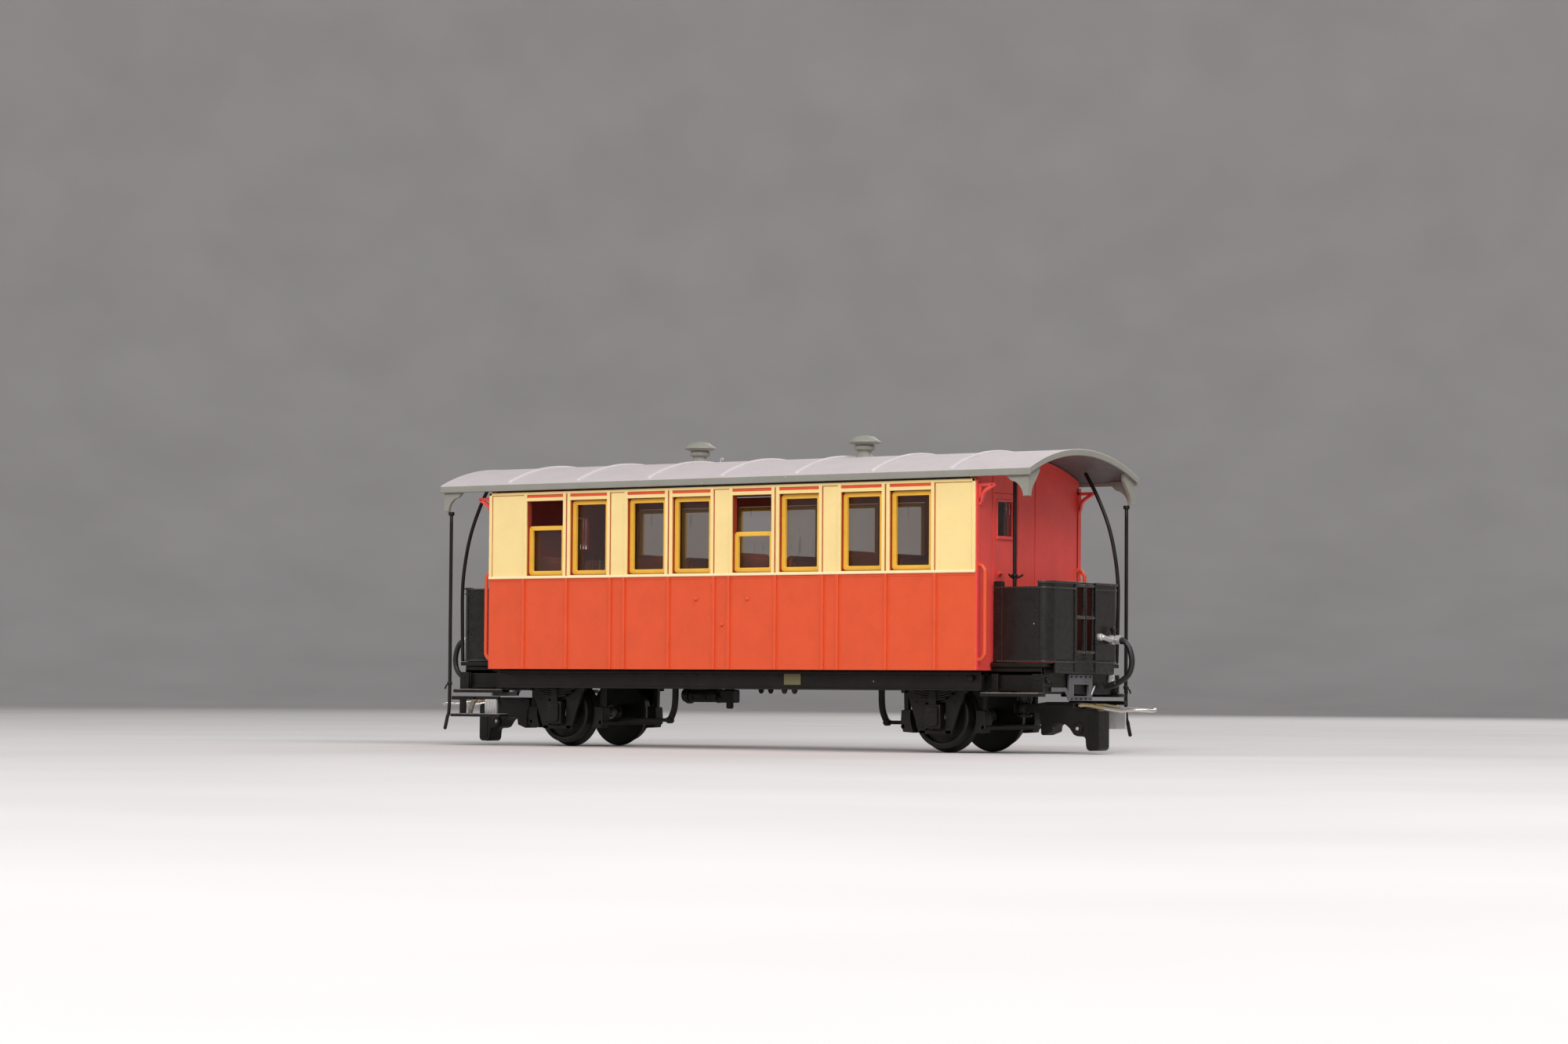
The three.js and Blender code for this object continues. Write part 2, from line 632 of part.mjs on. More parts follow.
// Two shoes on one beam, on the side of the axle that the sign names.
function shoePair(sign) {
  const { gap, thick, halfHeight, y0: inner, y1: outer, z } = SHOE;
  const { near, far, inset } = SHOE_HANGER;
  const reach = WHEEL.flangeR + gap;
  const at = (d) => AXLE_X + sign * d;
  const span = (a, b, y0, y1, z0, z1) =>
    box(Math.min(at(a), at(b)), Math.max(at(a), at(b)), y0, y1, z0, z1);
  const wheelSpace = barY(-12, 12, AXLE_X, WHEEL.flangeR, reach, 48);
  const pieces = bothSides((s) => {
    const [y0, y1] = s < 0 ? [-outer, -inner] : [inner, outer];
    return [
      span(reach - 1, reach + thick, y0, y1, z - halfHeight, z + halfHeight),
      span(reach + near, reach + far, y0 + inset, y1 - inset, z, PAN_UNDERSIDE),
    ];
  }).flat();
  const beam = barY(-outer, outer, at(reach + SHOE_BEAM.offset), z - SHOE_BEAM.drop, SHOE_BEAM.r, 8);
  return shaped([...pieces, beam], [wheelSpace]);
}

// The lever that hangs inboard of the inner shoes, and the link from it to their beam.
function brakeLever() {
  const { x0, x1, link, eye, shaft } = LEVER;
  const { y0, y1 } = PULL_ROD;
  const beam = AXLE_X - WHEEL.flangeR - SHOE.gap - SHOE_BEAM.offset + LAP;
  return [
    box(x1, beam, y0, y1, link[0], link[1]),
    box(eye[0], eye[1], y0 - LAP, y1 + LAP, link[0], eye[2]),
    box(x0, x1, y0, y1, shaft, PAN_UNDERSIDE),
  ];
}

function brakeRigging() {
  const { reach, y0, y1, bottom, top } = PULL_ROD;
  const pullRod = box(AXLE_X - reach, AXLE_X + reach, y0, y1, bottom, top);
  return shaped([shoePair(1), shoePair(-1), pullRod, ...brakeLever()]);
}

function brakeCylinder() {
  const { x0, x1, y, z, r } = CYLINDER;
  const { x0: s0, x1: s1, half, bottom } = CYLINDER_SEAT;
  return shaped([
    barX(x0, x1, y, z, r),
    barX(CYLINDER_FLANGE.x0, CYLINDER_FLANGE.x1, y, z, CYLINDER_FLANGE.r),
    barX(x1 - LAP, CYLINDER_ROD.end, y, z, CYLINDER_ROD.r),
    box(s0, s1, y - half, y + half, bottom, PAN_UNDERSIDE),
  ]);
}

function distributorValve() {
  const { x0, x1, y, half, bottom, top } = VALVE;
  const { x0: s0, x1: s1, half: seatHalf, bottom: seat } = VALVE_SEAT;
  return shaped([
    box(x0, x1, y - half, y + half, bottom, top),
    box(s0, s1, y - seatHalf, y + seatHalf, seat, PAN_UNDERSIDE),
    barZ(VALVE_DRAIN.bottom, VALVE_DRAIN.top, VALVE_DRAIN.x, y, VALVE_DRAIN.r, 10),
  ]);
}

// ---------------------------------------------------------------- one end, at +X
// Pierced plate with the bent stay that braces it.
function couplingPlate() {
  const { x0, x1, halfWidth: hw, bottom, top } = PLATE;
  const stay = outline([
    [-7.1, 7.85],
    [-3.75, 7.85],
    [-3.1, 6.75],
    [-2.3, 6.75],
    [-2.3, 7.1],
    [-3.35, 8.45],
    [-7.1, 8.45],
  ]);
  const { places, r, inset, proud } = PLATE_RIVET;
  const rivets = places.flatMap((y) =>
    [bottom + inset, top - inset].map((z) => barX(x1 - LAP, x1 + proud, y, z, r, 6)),
  );
  const plate = box(x0, x1, -hw, hw, bottom, top);
  const { halfWidth: hole, bottom: low, top: high } = PLATE_HOLE;
  return shaped(
    [plate, slabYZ(stay, x0, x1 - 0.05), ...rivets],
    [box(x0 - OVER, x1 + OVER, -hole, hole, low, high)],
  );
}

// Sheet end panel bent round the platform's corners, with a flange along its top.
function endRailing() {
  const { face, thick, halfWidth: hw, bottom, top, corner } = RAILING;
  const run = (outer, xBack) => {
    const r = corner + (outer - hw);
    const x = face + (outer - hw);
    const shape = new THREE.Shape();
    shape.moveTo(xBack, -outer);
    shape.lineTo(x - r, -outer);
    shape.absarc(x - r, -outer + r, r, -Math.PI / 2, 0);
    shape.lineTo(x, outer - r);
    shape.absarc(x - r, outer - r, r, 0, Math.PI / 2);
    shape.lineTo(xBack, outer);
    return shape;
  };
  const back = RAILING_BACK;
  const sheet = slabXY(run(hw, back), DECK.top + GAP, top, 4);
  const lower = box(face - thick, face, -hw + corner, hw - corner, bottom, DECK.top + OVER);
  const flange = slabXY(run(hw + RIM.proud, back), top - RIM.depth, top, 4);
  const inside = slabXY(run(hw - thick, back - OVER), bottom + 1, top + OVER, 4);
  const gateway = box(
    face - 1,
    face + 1,
    -GATE.halfWidth,
    GATE.halfWidth,
    GATE.bottom,
    top + OVER,
  );
  return shaped([sheet, lower, flange], [inside, gateway]);
}

// Gangway gate: two leaves, each with two slots above a plain foot.
function gangwayGate() {
  const { halfWidth, bottom, middle, low, stile, bar } = GATE;
  const half = halfWidth - GAP;
  const x1 = RAILING.face - GAP;
  const x0 = x1 - bar;
  const leaves = box(x0, x1, -half, half, bottom + GAP, RAILING.top);
  const slot = (s, z0, z1) => sideBox(s, x0 - OVER, x1 + OVER, stile - GAP, half - stile - GAP, z0, z1);
  const slots = bothSides((s) => [
    slot(s, low + bar, middle - bar / 2),
    slot(s, middle + bar / 2, RAILING.top - RIM.depth),
  ]);
  return shaped([leaves], slots.flat());
}

function sidePanel(side, top) {
  const { outer, thick, inner, end } = PANEL;
  const foot = DECK.top + GAP;
  const sheet = sideBox(side, inner, end, outer - thick, outer, foot, top);
  if (side > 0) return shaped([sheet]);
  const { width, thick: postThick, higher } = POST;
  const post = sideBox(side, inner, inner + width, outer - postThick, outer, foot, top + higher);
  return shaped([sheet, post]);
}

// Pole from the roof gusset to the end of the lower step.
function cornerPole() {
  const { x, y, d, bottom } = POLE;
  const top = ROOF.eave - GUSSET.drop - GAP;
  return rod(
    [
      [x, y, top],
      [x, y, (top + LOW_STEP.top) / 2],
      [x, y, LOW_STEP.top + 1.5],
      [x + 0.2, y + 0.2, LOW_STEP.top - 0.6],
      [x + 0.45, y + 0.4, bottom],
    ],
    d,
    8,
  );
}

// Stay that rises from the deck's corner and sweeps back to the roof.
function roofStay() {
  const y = STAY.y;
  return rod(
    [
      [46.6, y + 0.15, DECK.top + GAP],
      [46.75, y + 0.15, 17],
      [46.75, y + 0.15, 22],
      [46.25, y + 0.1, 26],
      [45.3, y, 29.7],
      [43.7, y, 33.3],
      [41.9, y, roofUnderside(y) - 0.3],
    ],
    STAY.d,
    12,
  );
}

function brakeColumn() {
  const { x, y, d, wheelZ } = COLUMN;
  const top = roofUnderside(y) - 0.3;
  const arms = [0, 1, 2].map((n) => {
    const arm = barX(0, COLUMN.arm, 0, 0, COLUMN.armR, 6).rotateY(-0.5);
    return arm.rotateZ((n * 2 * Math.PI) / 3 + 0.3).translate(x, y, wheelZ);
  });
  return shaped([barZ(DECK.top + GAP, top, x, y, d / 2, 8), ...arms]);
}

function grabRail(y) {
  const x = BODY.halfLength + GAP;
  const { reach, d, bottom, top } = RAIL;
  return rod(
    [
      [x, y, top],
      [x + reach * 0.6, y, top - 0.1],
      [x + reach, y, top - 0.9],
      [x + reach, y, (top + bottom) / 2],
      [x + reach, y, bottom + 0.9],
      [x + reach * 0.6, y, bottom + 0.1],
      [x, y, bottom],
    ],
    d,
    12,
  );
}

function upperStep(side) {
  const { thick, top, x0, x1, y0, y1 } = STEP;
  const { spans, top: hangerTop, thick: hanger } = STEP_HANGERS;
  return shaped([
    sideBox(side, x0, x1, y0, y1, top - thick, top),
    ...spans.map(([h0, h1]) => sideBox(side, h0, h1, y0, y0 + hanger, top - LAP, hangerTop)),
  ]);
}

// The lower step hangs on a riser plate and a slanting strut below the upper one.
function lowerStep() {
  const { thick, top, x0, x1, y0, y1 } = LOW_STEP;
  const { y0: back, y1: front, plate, post, top: riserTop } = RISER;
  const rail = RISER_RAIL;
  const { foot, head, top: strutTop } = RISER_STRUT;
  const strut = outline([
    [foot[0], top - LAP],
    [foot[1], top - LAP],
    [head[1], strutTop],
    [head[0], strutTop],
  ]);
  return shaped([
    box(x0, x1, y0, y1, top - thick, top),
    box(rail.x0, rail.x1, rail.y0, front, rail.bottom, rail.top),
    ...[plate, post].map(([r0, r1]) => box(r0, r1, back, front, top - LAP, riserTop)),
    slabXZ(strut, back, front),
  ]);
}

function airCock() {
  const x = RAILING.face + GAP;
  const { y0, y1, z, pipeR, pipeX } = COCK;
  const { y: bodyY, r, x0, x1 } = COCK_BODY;
  const boss = COCK_BOSS;
  const handle = COCK_HANDLE;
  return shaped([
    barX(x, x + boss.length, boss.y, boss.z, boss.r, 8),
    barY(y0, y1, x + pipeX, z, pipeR, 8),
    barX(x + x0, x + x1, bodyY, z, r, 10),
    box(x + handle.x0, x + handle.x1, handle.y0, handle.y1, handle.bottom, handle.top),
  ]);
}

// Moulded hose that bulges forward and ends under the deck.
function brakeHose() {
  const x = RAILING.face + GAP;
  const y = COCK_BODY.y;
  return rod(
    [
      [x + 1.95, y, 14.5],
      [x + 2.7, y, 14.0],
      [x + 3.3, y, 12.9],
      [x + 3.45, y, 11.4],
      [x + 2.8, y, 10.0],
      [x + 1.2, y, 9.0],
      [x - 0.6, y, 8.5],
    ],
    HOSE_D,
    11,
  );
}

// ---------------------------------------------------------------- coupler, at +X
function couplerBody() {
  const { halfWidth, top, bottom, shank, shankHalf } = COUPLER;
  const side = new THREE.Shape();
  side.moveTo(41.2, top - 0.2);
  side.lineTo(41.2, 5.4);
  side.lineTo(41.6, 4.4);
  side.lineTo(41.7, 2.5);
  side.lineTo(41.95, 2.3);
  side.lineTo(43.3, 2.8);
  side.lineTo(43.4, 3.6);
  side.lineTo(43.8, 3.9);
  side.lineTo(45.1, 3.9);
  side.quadraticCurveTo(46.0, 3.5, 46.3, 2.7);
  side.quadraticCurveTo(46.6, 2.28, 47.2, 2.28);
  side.lineTo(48.1, 2.2);
  side.lineTo(48.3, 1.0);
  side.quadraticCurveTo(48.3, bottom, 48.9, bottom);
  side.lineTo(49.7, bottom);
  side.quadraticCurveTo(50.2, bottom, 50.2, 1.0);
  side.lineTo(50.2, 5.3);
  side.lineTo(49.7, 5.75);
  side.lineTo(48.4, 5.75);
  side.lineTo(48.2, top);
  side.lineTo(42.6, top);
  const head = slabXZ(side, -halfWidth, halfWidth, 4);
  const arm = box(COUPLER_PIN.x, 43, -shankHalf, shankHalf, shank[0], shank[1]);
  const eye = barZ(shank[0], shank[1], COUPLER_PIN.x, 0, COUPLER_EYE_R, 16);
  const { x: bossX, z: bossZ, r: bossR, holeR: bossHole, halfWidth: bossHalf } = COUPLER_BOSS;
  const boss = barY(-bossHalf, bossHalf, bossX, bossZ, bossR, 10);
  const { x, z, holeR } = HEAD_PIN;
  const { x0, x1, halfWidth: tongue, bottom: shoulder } = COUPLER_TONGUE;
  const besideTongue = bothSides((s) =>
    sideBox(s, x0, x1, tongue, bossHalf + OVER, shoulder, top + OVER),
  );
  const through = bossHalf + OVER;
  return shaped(
    [head, arm, eye, boss],
    [
      barZ(shank[0] - OVER, shank[1] + OVER, COUPLER_PIN.x, 0, COUPLER_PIN.holeR, 16),
      barY(-through, through, x, z, holeR, 16),
      barY(-through, through, bossX, bossZ, bossHole, 8),
      ...besideTongue,
    ],
  );
}

// Headed pin that hangs from the platform frame through the coupler's eye.
function couplerPin() {
  const { x, r, bottom, top, headR } = COUPLER_PIN;
  return shaped([
    barZ(bottom, PAN_UNDERSIDE, x, 0, r, 16),
    barZ(bottom - 0.3, bottom + LAP, x, 0, headR, 12),
    barZ(top - 0.6, PAN_UNDERSIDE, x, 0, headR, 12),
  ]);
}

// The loop's front in plan: from the two arms through clipped corners to the front bar.
function loopFront(hw, back, front, corner, inset) {
  const [y, x, cut] = [hw - inset, front - inset, corner - inset / 2];
  return [
    [back, -y],
    [x - cut, -y],
    [x, -y + cut],
    [x, y - cut],
    [x - cut, y],
    [back, y],
  ];
}

// Wire loop hinged on a cross pin through the head.
function couplerHoop() {
  const { halfWidth: hw, front, bar, drop, eye, corner } = HOOP;
  const { x, z, r } = HEAD_PIN;
  const bend = front - corner - 0.3;
  const arm = outline([
    [x - 0.45, z - eye],
    [x + 0.5, z - eye],
    [x + 2.6, z - 0.3],
    [bend, z - drop],
    [bend, z - drop + bar],
    [x + 2.6, z + 0.12],
    [x + 0.5, z + eye],
    [x - 0.45, z + eye],
  ]);
  const outer = outline(loopFront(hw, bend - LAP, front, corner, 0));
  const inner = outline(loopFront(hw, bend - OVER, front, corner, bar));
  const [low, high] = [z - drop, z - drop + bar];
  return shaped(
    [
      slabXY(outer, low, high),
      ...bothSides((s) => slabXZ(arm, s < 0 ? -hw : hw - bar, s < 0 ? -hw + bar : hw)),
      barY(-hw, hw, x, z, r, 12),
    ],
    [slabXY(inner, low - OVER, high + OVER)],
  );
}

// ---------------------------------------------------------------- assembly
function coachEnd(end) {
  const group = new THREE.Group();
  const add = (name, paint, geometry) => group.add(part(`${name}_${end}`, paint, geometry));
  add("coupling_plate", "zinc", couplingPlate());
  add("end_railing", "black", endRailing());
  add("gangway_gate", "black", gangwayGate());
  add("side_panel_low", "black", sidePanel(-1, PANEL.lowTop));
  add("side_panel_high", "black", sidePanel(1, PANEL.highTop));
  add("corner_pole", "black", cornerPole());
  add("roof_stay", "black", roofStay());
  add("brake_column", "black", brakeColumn());
  for (const side of [-1, 1]) {
    const isNear = side < 0 === (end === "right");
    const where = isNear ? "near" : "far";
    add(`grab_rail_${where}`, "red", grabRail(side * RAIL.y));
    add(`upper_step_${where}`, "black", upperStep(side));
  }
  add("lower_step", "black", lowerStep());
  add("air_cock", "zinc", airCock());
  add("brake_hose", "rubber", brakeHose());
  add("door_pane", "clear", doorPane());
  add("brake_rigging", "black", brakeRigging());
  add("coupler_body", "black", couplerBody());
  add("coupler_pin", "steel", couplerPin());
  add("coupler_hoop", "brass", couplerHoop());
  if (end === "left") group.rotation.z = Math.PI;
  return group;
}

const coach = new THREE.Group();
coach.add(part("body_shell", "red", bodyShell()));
coach.add(part("roof", "roofGrey", roof()));
coach.add(part("roof_vent_left", "roofGrey", ventilator(VENTS.left)));
coach.add(part("roof_vent_right", "roofGrey", ventilator(VENTS.right)));
coach.add(part("sashes_near", "ochre", sashes(-1)));
coach.add(part("sashes_far", "ochre", sashes(1)));
coach.add(part("panes_near", "clear", panes(-1)));
coach.add(part("panes_far", "clear", panes(1)));
coach.add(part("interior", "brown", interior()));
coach.add(part("ballast_plate", "steel", ballast()));
coach.add(part("underframe", "black", underframe()));
coach.add(part("brake_cylinder", "black", brakeCylinder()));
coach.add(part("distributor_valve", "black", distributorValve()));
coach.add(wheelset("left", -AXLE_X));
coach.add(wheelset("right", AXLE_X));
coach.add(coachEnd("left"));
coach.add(coachEnd("right"));

export default coach;
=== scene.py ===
"""Looks for a two-axle narrow-gauge passenger coach model at 1:87.

X runs along the coach and Z is up. Shapes are drawn in millimetres and their meshes are
stored in metres. Both ends are the same moulding: each is drawn at +X and the left one is
turned half a turn about Z.
"""

import math

import bmesh
import bpy
from mathutils import Matrix, Vector
from mathutils.geometry import tessellate_polygon


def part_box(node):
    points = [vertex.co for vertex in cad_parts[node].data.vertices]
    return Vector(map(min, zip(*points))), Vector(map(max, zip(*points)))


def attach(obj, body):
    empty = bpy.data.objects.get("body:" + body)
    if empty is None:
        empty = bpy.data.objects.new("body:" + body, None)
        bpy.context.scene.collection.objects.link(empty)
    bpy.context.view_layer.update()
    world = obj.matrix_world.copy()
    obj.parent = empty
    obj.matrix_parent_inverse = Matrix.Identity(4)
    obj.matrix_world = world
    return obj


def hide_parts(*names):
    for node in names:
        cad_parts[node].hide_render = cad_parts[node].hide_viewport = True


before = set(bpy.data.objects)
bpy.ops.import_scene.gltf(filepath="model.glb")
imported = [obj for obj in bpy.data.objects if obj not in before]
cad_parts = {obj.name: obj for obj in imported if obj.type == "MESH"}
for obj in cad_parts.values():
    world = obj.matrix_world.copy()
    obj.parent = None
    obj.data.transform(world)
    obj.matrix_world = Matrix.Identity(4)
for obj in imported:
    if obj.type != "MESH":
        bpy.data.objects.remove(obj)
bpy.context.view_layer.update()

MM = 0.001
HALF_TURN = Matrix.Rotation(math.pi, 4, "Z")
SIDES = (-1, 1)
ENDS = ("left", "right")
SHARP_ANGLE = math.radians(32)
EDGE = 0.06  # radius of an ordinary moulded edge
LAP = 0.05  # how far one solid sinks into the one it stands on


def span(node):
    """The lowest and highest corner of a CAD node, in millimetres."""
    low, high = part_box(node)
    return low / MM, high / MM


# ---------------------------------------------------------------- driving dimensions
BODY = {"end": 39.1, "side": 13.2, "wall": 1.0, "bottom": 10.5, "top": 34.6, "split": 22.8}
WINDOW = {"width": 6.25, "bottom": 23.2, "top": 33.35}
WINDOW_OFFSET = 3.725
PAIRS = (-25.7, -8.6, 8.6, 25.7)
LOWERED = {0: 29.95, 4: 28.55}
DOOR = {"near": -9.1, "far": -2.9, "joint": 1.45, "foot": 11.6, "top": 33.0}
HANDLE = (-7.4, 22.75)
DOOR_WINDOW = {"near": -7.9, "far": -3.9, "bottom": 27.6, "top": 32.0}

roof_high = span("roof")[1]
ROOF = {"end": roof_high.x, "side": roof_high.y, "eave": 35.05, "thick": 0.65, "rise": 3.0}
ARCH_RADIUS = (ROOF["side"] ** 2 + ROOF["rise"] ** 2) / (2 * ROOF["rise"])

axle_low, axle_high = span("axle_right")
AXLE = {"x": (axle_low.x + axle_high.x) / 2, "z": (axle_low.z + axle_high.z) / 2}

window_middles = [pair + s * WINDOW_OFFSET for pair in PAIRS for s in SIDES]


def arch(y, lift=0.0):
    """The height of the roof's underside at a distance y from the middle."""
    middle = ROOF["eave"] + ROOF["rise"] - ARCH_RADIUS
    return middle + math.sqrt(ARCH_RADIUS**2 - y**2) + lift


# ---------------------------------------------------------------- outlines and routes
def arc(u, v, radius, start, end, steps):
    """Points on an arc, angles in degrees."""
    turns = [math.radians(start + (end - start) * i / steps) for i in range(steps + 1)]
    return [(u + radius * math.cos(t), v + radius * math.sin(t)) for t in turns]


def circle(u, v, radius, sides=32):
    return arc(u, v, radius, 0, 360, sides)[:-1]


def rectangle(u0, u1, v0, v1):
    return [(u0, v0), (u1, v0), (u1, v1), (u0, v1)]


def rounded(u0, u1, v0, v1, radius, steps=4):
    """A rectangle with round corners."""
    r = radius
    corners = [(u1 - r, v0 + r, -90), (u1 - r, v1 - r, 0), (u0 + r, v1 - r, 90), (u0 + r, v0 + r, 180)]
    return [p for u, v, start in corners for p in arc(u, v, r, start, start + 90, steps)]


def smooth(points, per_span=6):
    """A Catmull-Rom curve through the points."""
    points = [Vector(p) for p in points]
    ends = [2 * points[0] - points[1], *points, 2 * points[-1] - points[-2]]
    route = []
    for a, b, c, d in zip(ends, ends[1:], ends[2:], ends[3:]):
        for i in range(per_span):
            t = i / per_span
            route.append(
                0.5 * (2 * b + (c - a) * t + (2 * a - 5 * b + 4 * c - d) * t**2)
                + 0.5 * (3 * b - a - 3 * c + d) * t**3
            )
    return [*route, points[-1]]


def swept(points, width):
    """The outline of a strip of even width whose middle follows the points, in two dimensions."""
    middle = [Vector(p).to_2d() for p in points]
    sides = ([], [])
    for i, here in enumerate(middle):
        before, after = middle[max(i - 1, 0)], middle[min(i + 1, len(middle) - 1)]
        along = (after - before).normalized()
        across = Vector((-along.y, along.x)) * width / 2
        sides[0].append(tuple(here + across))
        sides[1].append(tuple(here - across))
    return sides[0] + sides[1][::-1]


def outward(side, inner, outer):
    """The two Y values, lower first, of a stretch on one side of the coach."""
    return (inner, outer) if side > 0 else (-outer, -inner)


PLANES = {
    "XY": lambda u, v, a: (u, v, a),
    "XZ": lambda u, v, a: (u, a, v),
    "YZ": lambda u, v, a: (a, u, v),
}


# ---------------------------------------------------------------- solids
class Solids:
    """Closed solids that make up one piece, in millimetres. A tag is a solid's material number."""

    def __init__(self):
        self.bm = bmesh.new()

    def add(self, part, edge=EDGE, tag=0, segments=2):
        """Rounds a part's sharp edges and takes it in. The tag is a number or a function of a face."""
        bmesh.ops.recalc_face_normals(part, faces=part.faces)
        if edge:
            sharp = [e for e in part.edges if e.is_manifold and e.calc_face_angle() > SHARP_ANGLE]
            bmesh.ops.bevel(
                part,
                geom=sharp,
                offset=edge,
                segments=segments,
                profile=0.5,
                affect="EDGES",
                clamp_overlap=True,
            )
        part.normal_update()
        for face in part.faces:
            face.material_index = tag(face) if callable(tag) else tag
        mesh = bpy.data.meshes.new("part")
        part.to_mesh(mesh)
        part.free()
        self.bm.from_mesh(mesh)
        bpy.data.meshes.remove(mesh)

    def slab(self, plane, outline, a0, a1, holes=(), **finish):
        """An outline drawn on a plane, made solid from a0 to a1 along the third axis."""
        part = bmesh.new()
        at = PLANES[plane]
        loops = [outline, *holes]
        rings = []
        for a in (a0, a1):
            rings.append([[part.verts.new(at(u, v, a)) for u, v in loop] for loop in loops])
        for low, high in zip(*rings):
            for i in range(len(low)):
                j = (i + 1) % len(low)
                part.faces.new((low[i], low[j], high[j], high[i]))
        if holes:
            flat = [[Vector((u, v, 0)) for u, v in loop] for loop in loops]
            triangles = tessellate_polygon(flat)
            for ring in rings:
                verts = [v for loop in ring for v in loop]
                for triangle in triangles:
                    part.faces.new([verts[i] for i in triangle])
        else:
            for ring in rings:
                part.faces.new(ring[0])
        self.add(part, **finish)

    def box(self, x0, x1, y0, y1, z0, z1, **finish):
        self.slab("XY", rectangle(x0, x1, y0, y1), z0, z1, **finish)

    def side_box(self, side, x0, x1, inner, outer, z0, z1, **finish):
        y0, y1 = outward(side, inner, outer)
        self.box(x0, x1, y0, y1, z0, z1, **finish)

    def side_slab(self, side, outline, inner, outer, **finish):
        """An XZ outline made solid between two distances from the middle, on one side."""
        self.slab("XZ", outline, *outward(side, inner, outer), **finish)

    def disc(self, axis, u, v, radius, a0, a1, sides=24, **finish):
        """A short bar along an axis; u and v are its place across that axis, in X, Y, Z order."""
        plane = {"X": "YZ", "Y": "XZ", "Z": "XY"}[axis]
        self.slab(plane, circle(u, v, radius, sides), a0, a1, **finish)

    def tube(self, points, radius, sides=14, flat=1.0, tag=0):
        """A round bar along the points with rounded ends. Flat below 1 squeezes it in Z."""
        points = [Vector(p) for p in points]
        first = (points[1] - points[0]).normalized()
        last = (points[-1] - points[-2]).normalized()
        tip = radius * 0.5
        route = [points[0], points[0] + first * tip, *points[1:-1], points[-1] - last * tip, points[-1]]
        radii = [radius * 0.6, *[radius] * (len(points)), radius * 0.6]
        part = bmesh.new()
        across = first.orthogonal().normalized()
        rings = []
        for i, here in enumerate(route):
            along = (route[min(i + 1, len(route) - 1)] - route[max(i - 1, 0)]).normalized()
            across = (across - along * across.dot(along)).normalized()
            other = along.cross(across)
            ring = []
            for k in range(sides):
                turn = 2 * math.pi * k / sides
                arm = (across * math.cos(turn) + other * math.sin(turn)) * radii[i]
                arm.z *= flat
                ring.append(part.verts.new(here + arm))
            rings.append(ring)
        for low, high in zip(rings, rings[1:]):
            for k in range(sides):
                j = (k + 1) % sides
                part.faces.new((low[k], low[j], high[j], high[k]))
        part.faces.new(rings[0])
        part.faces.new(rings[-1])
        self.add(part, edge=0, tag=tag)

    def lathe(self, profile, centre=(0, 0, 0), axis="Z", sides=48, tag=0):
        """A profile of radius and height turned round an axis. Radius 0 closes it at the axis."""
        part = bmesh.new()
        centre = Vector(centre)
        rings = []
        for radius, height in profile:
            if radius == 0:
                rings.append([part.verts.new(turned(axis, 0, 0, height) + centre)])
                continue
            turns = [2 * math.pi * k / sides for k in range(sides)]
            places = [(radius * math.cos(t), radius * math.sin(t)) for t in turns]
            rings.append([part.verts.new(turned(axis, u, v, height) + centre) for u, v in places])
        closed = profile[0][0] > 0
        follow = [*rings[1:], rings[0]] if closed else rings[1:]
        for low, high in zip(rings, follow):
            for k in range(sides):
                j = (k + 1) % sides
                corners = [low[k % len(low)], low[j % len(low)], high[j % len(high)], high[k % len(high)]]
                part.faces.new(list(dict.fromkeys(corners)))
        self.add(part, edge=0, tag=tag)

    def rivet(self, point, direction, radius=0.16, height=0.12, tag=0):
        """A round head on a surface that faces along +X, -X, +Y, -Y, +Z or -Z."""
        axis, way = direction[1], 1 if direction[0] == "+" else -1
        profile = [(0, -LAP * way), (radius, -LAP * way), (radius * 0.9, height * 0.45 * way)]
        profile += [(radius * 0.55, height * 0.88 * way), (0, height * way)]
        self.lathe(profile, point, axis, sides=12, tag=tag)


def facing(side):
    """The direction that a side of the coach faces."""
    return "+Y" if side > 0 else "-Y"


def turned(axis, u, v, height):
    """A point with its height along the named axis."""
    return Vector({"X": (height, u, v), "Y": (u, height, v), "Z": (u, v, height)}[axis])


def drawn(draw):
    """Makes a function that draws on Solids return a new one, drawn on."""

    def start(*place):
        made = Solids()
        draw(made, *place)
        return made

    return start


def piece(name, solids, materials, body="coach", nodes=(), end="right"):
    """Makes the solids one object that rides on a CAD body and stands for CAD nodes."""
    bm = solids.bm
    bmesh.ops.recalc_face_normals(bm, faces=bm.faces)
    place = Matrix.Scale(MM, 4)
    if end == "left":
        place = place @ HALF_TURN
    bm.transform(place)
    mesh = bpy.data.meshes.new(name)
    bm.to_mesh(mesh)
    bm.free()
    for material in materials:
        mesh.materials.append(material)
    mesh.shade_smooth()
    mesh.set_sharp_from_angle(angle=math.radians(48))
    made = bpy.data.objects.new(name, mesh)
    bpy.context.scene.collection.objects.link(made)
    weighted = made.modifiers.new("even_shading", "WEIGHTED_NORMAL")
    weighted.keep_sharp = True
    weighted.weight = 60
    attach(made, body)
    if nodes:
        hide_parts(*nodes)
    return made


# ---------------------------------------------------------------- materials
def linear(red, green, blue):
    """A colour given as 0 to 255 on a screen, as the renderer's linear colour."""
    parts = [c / 255 for c in (red, green, blue)]
    return (*[c / 12.92 if c <= 0.04045 else ((c + 0.055) / 1.055) ** 2.4 for c in parts], 1.0)


def shade(colour, factor):
    return (*[min(1.0, c * factor) for c in colour[:3]], 1.0)


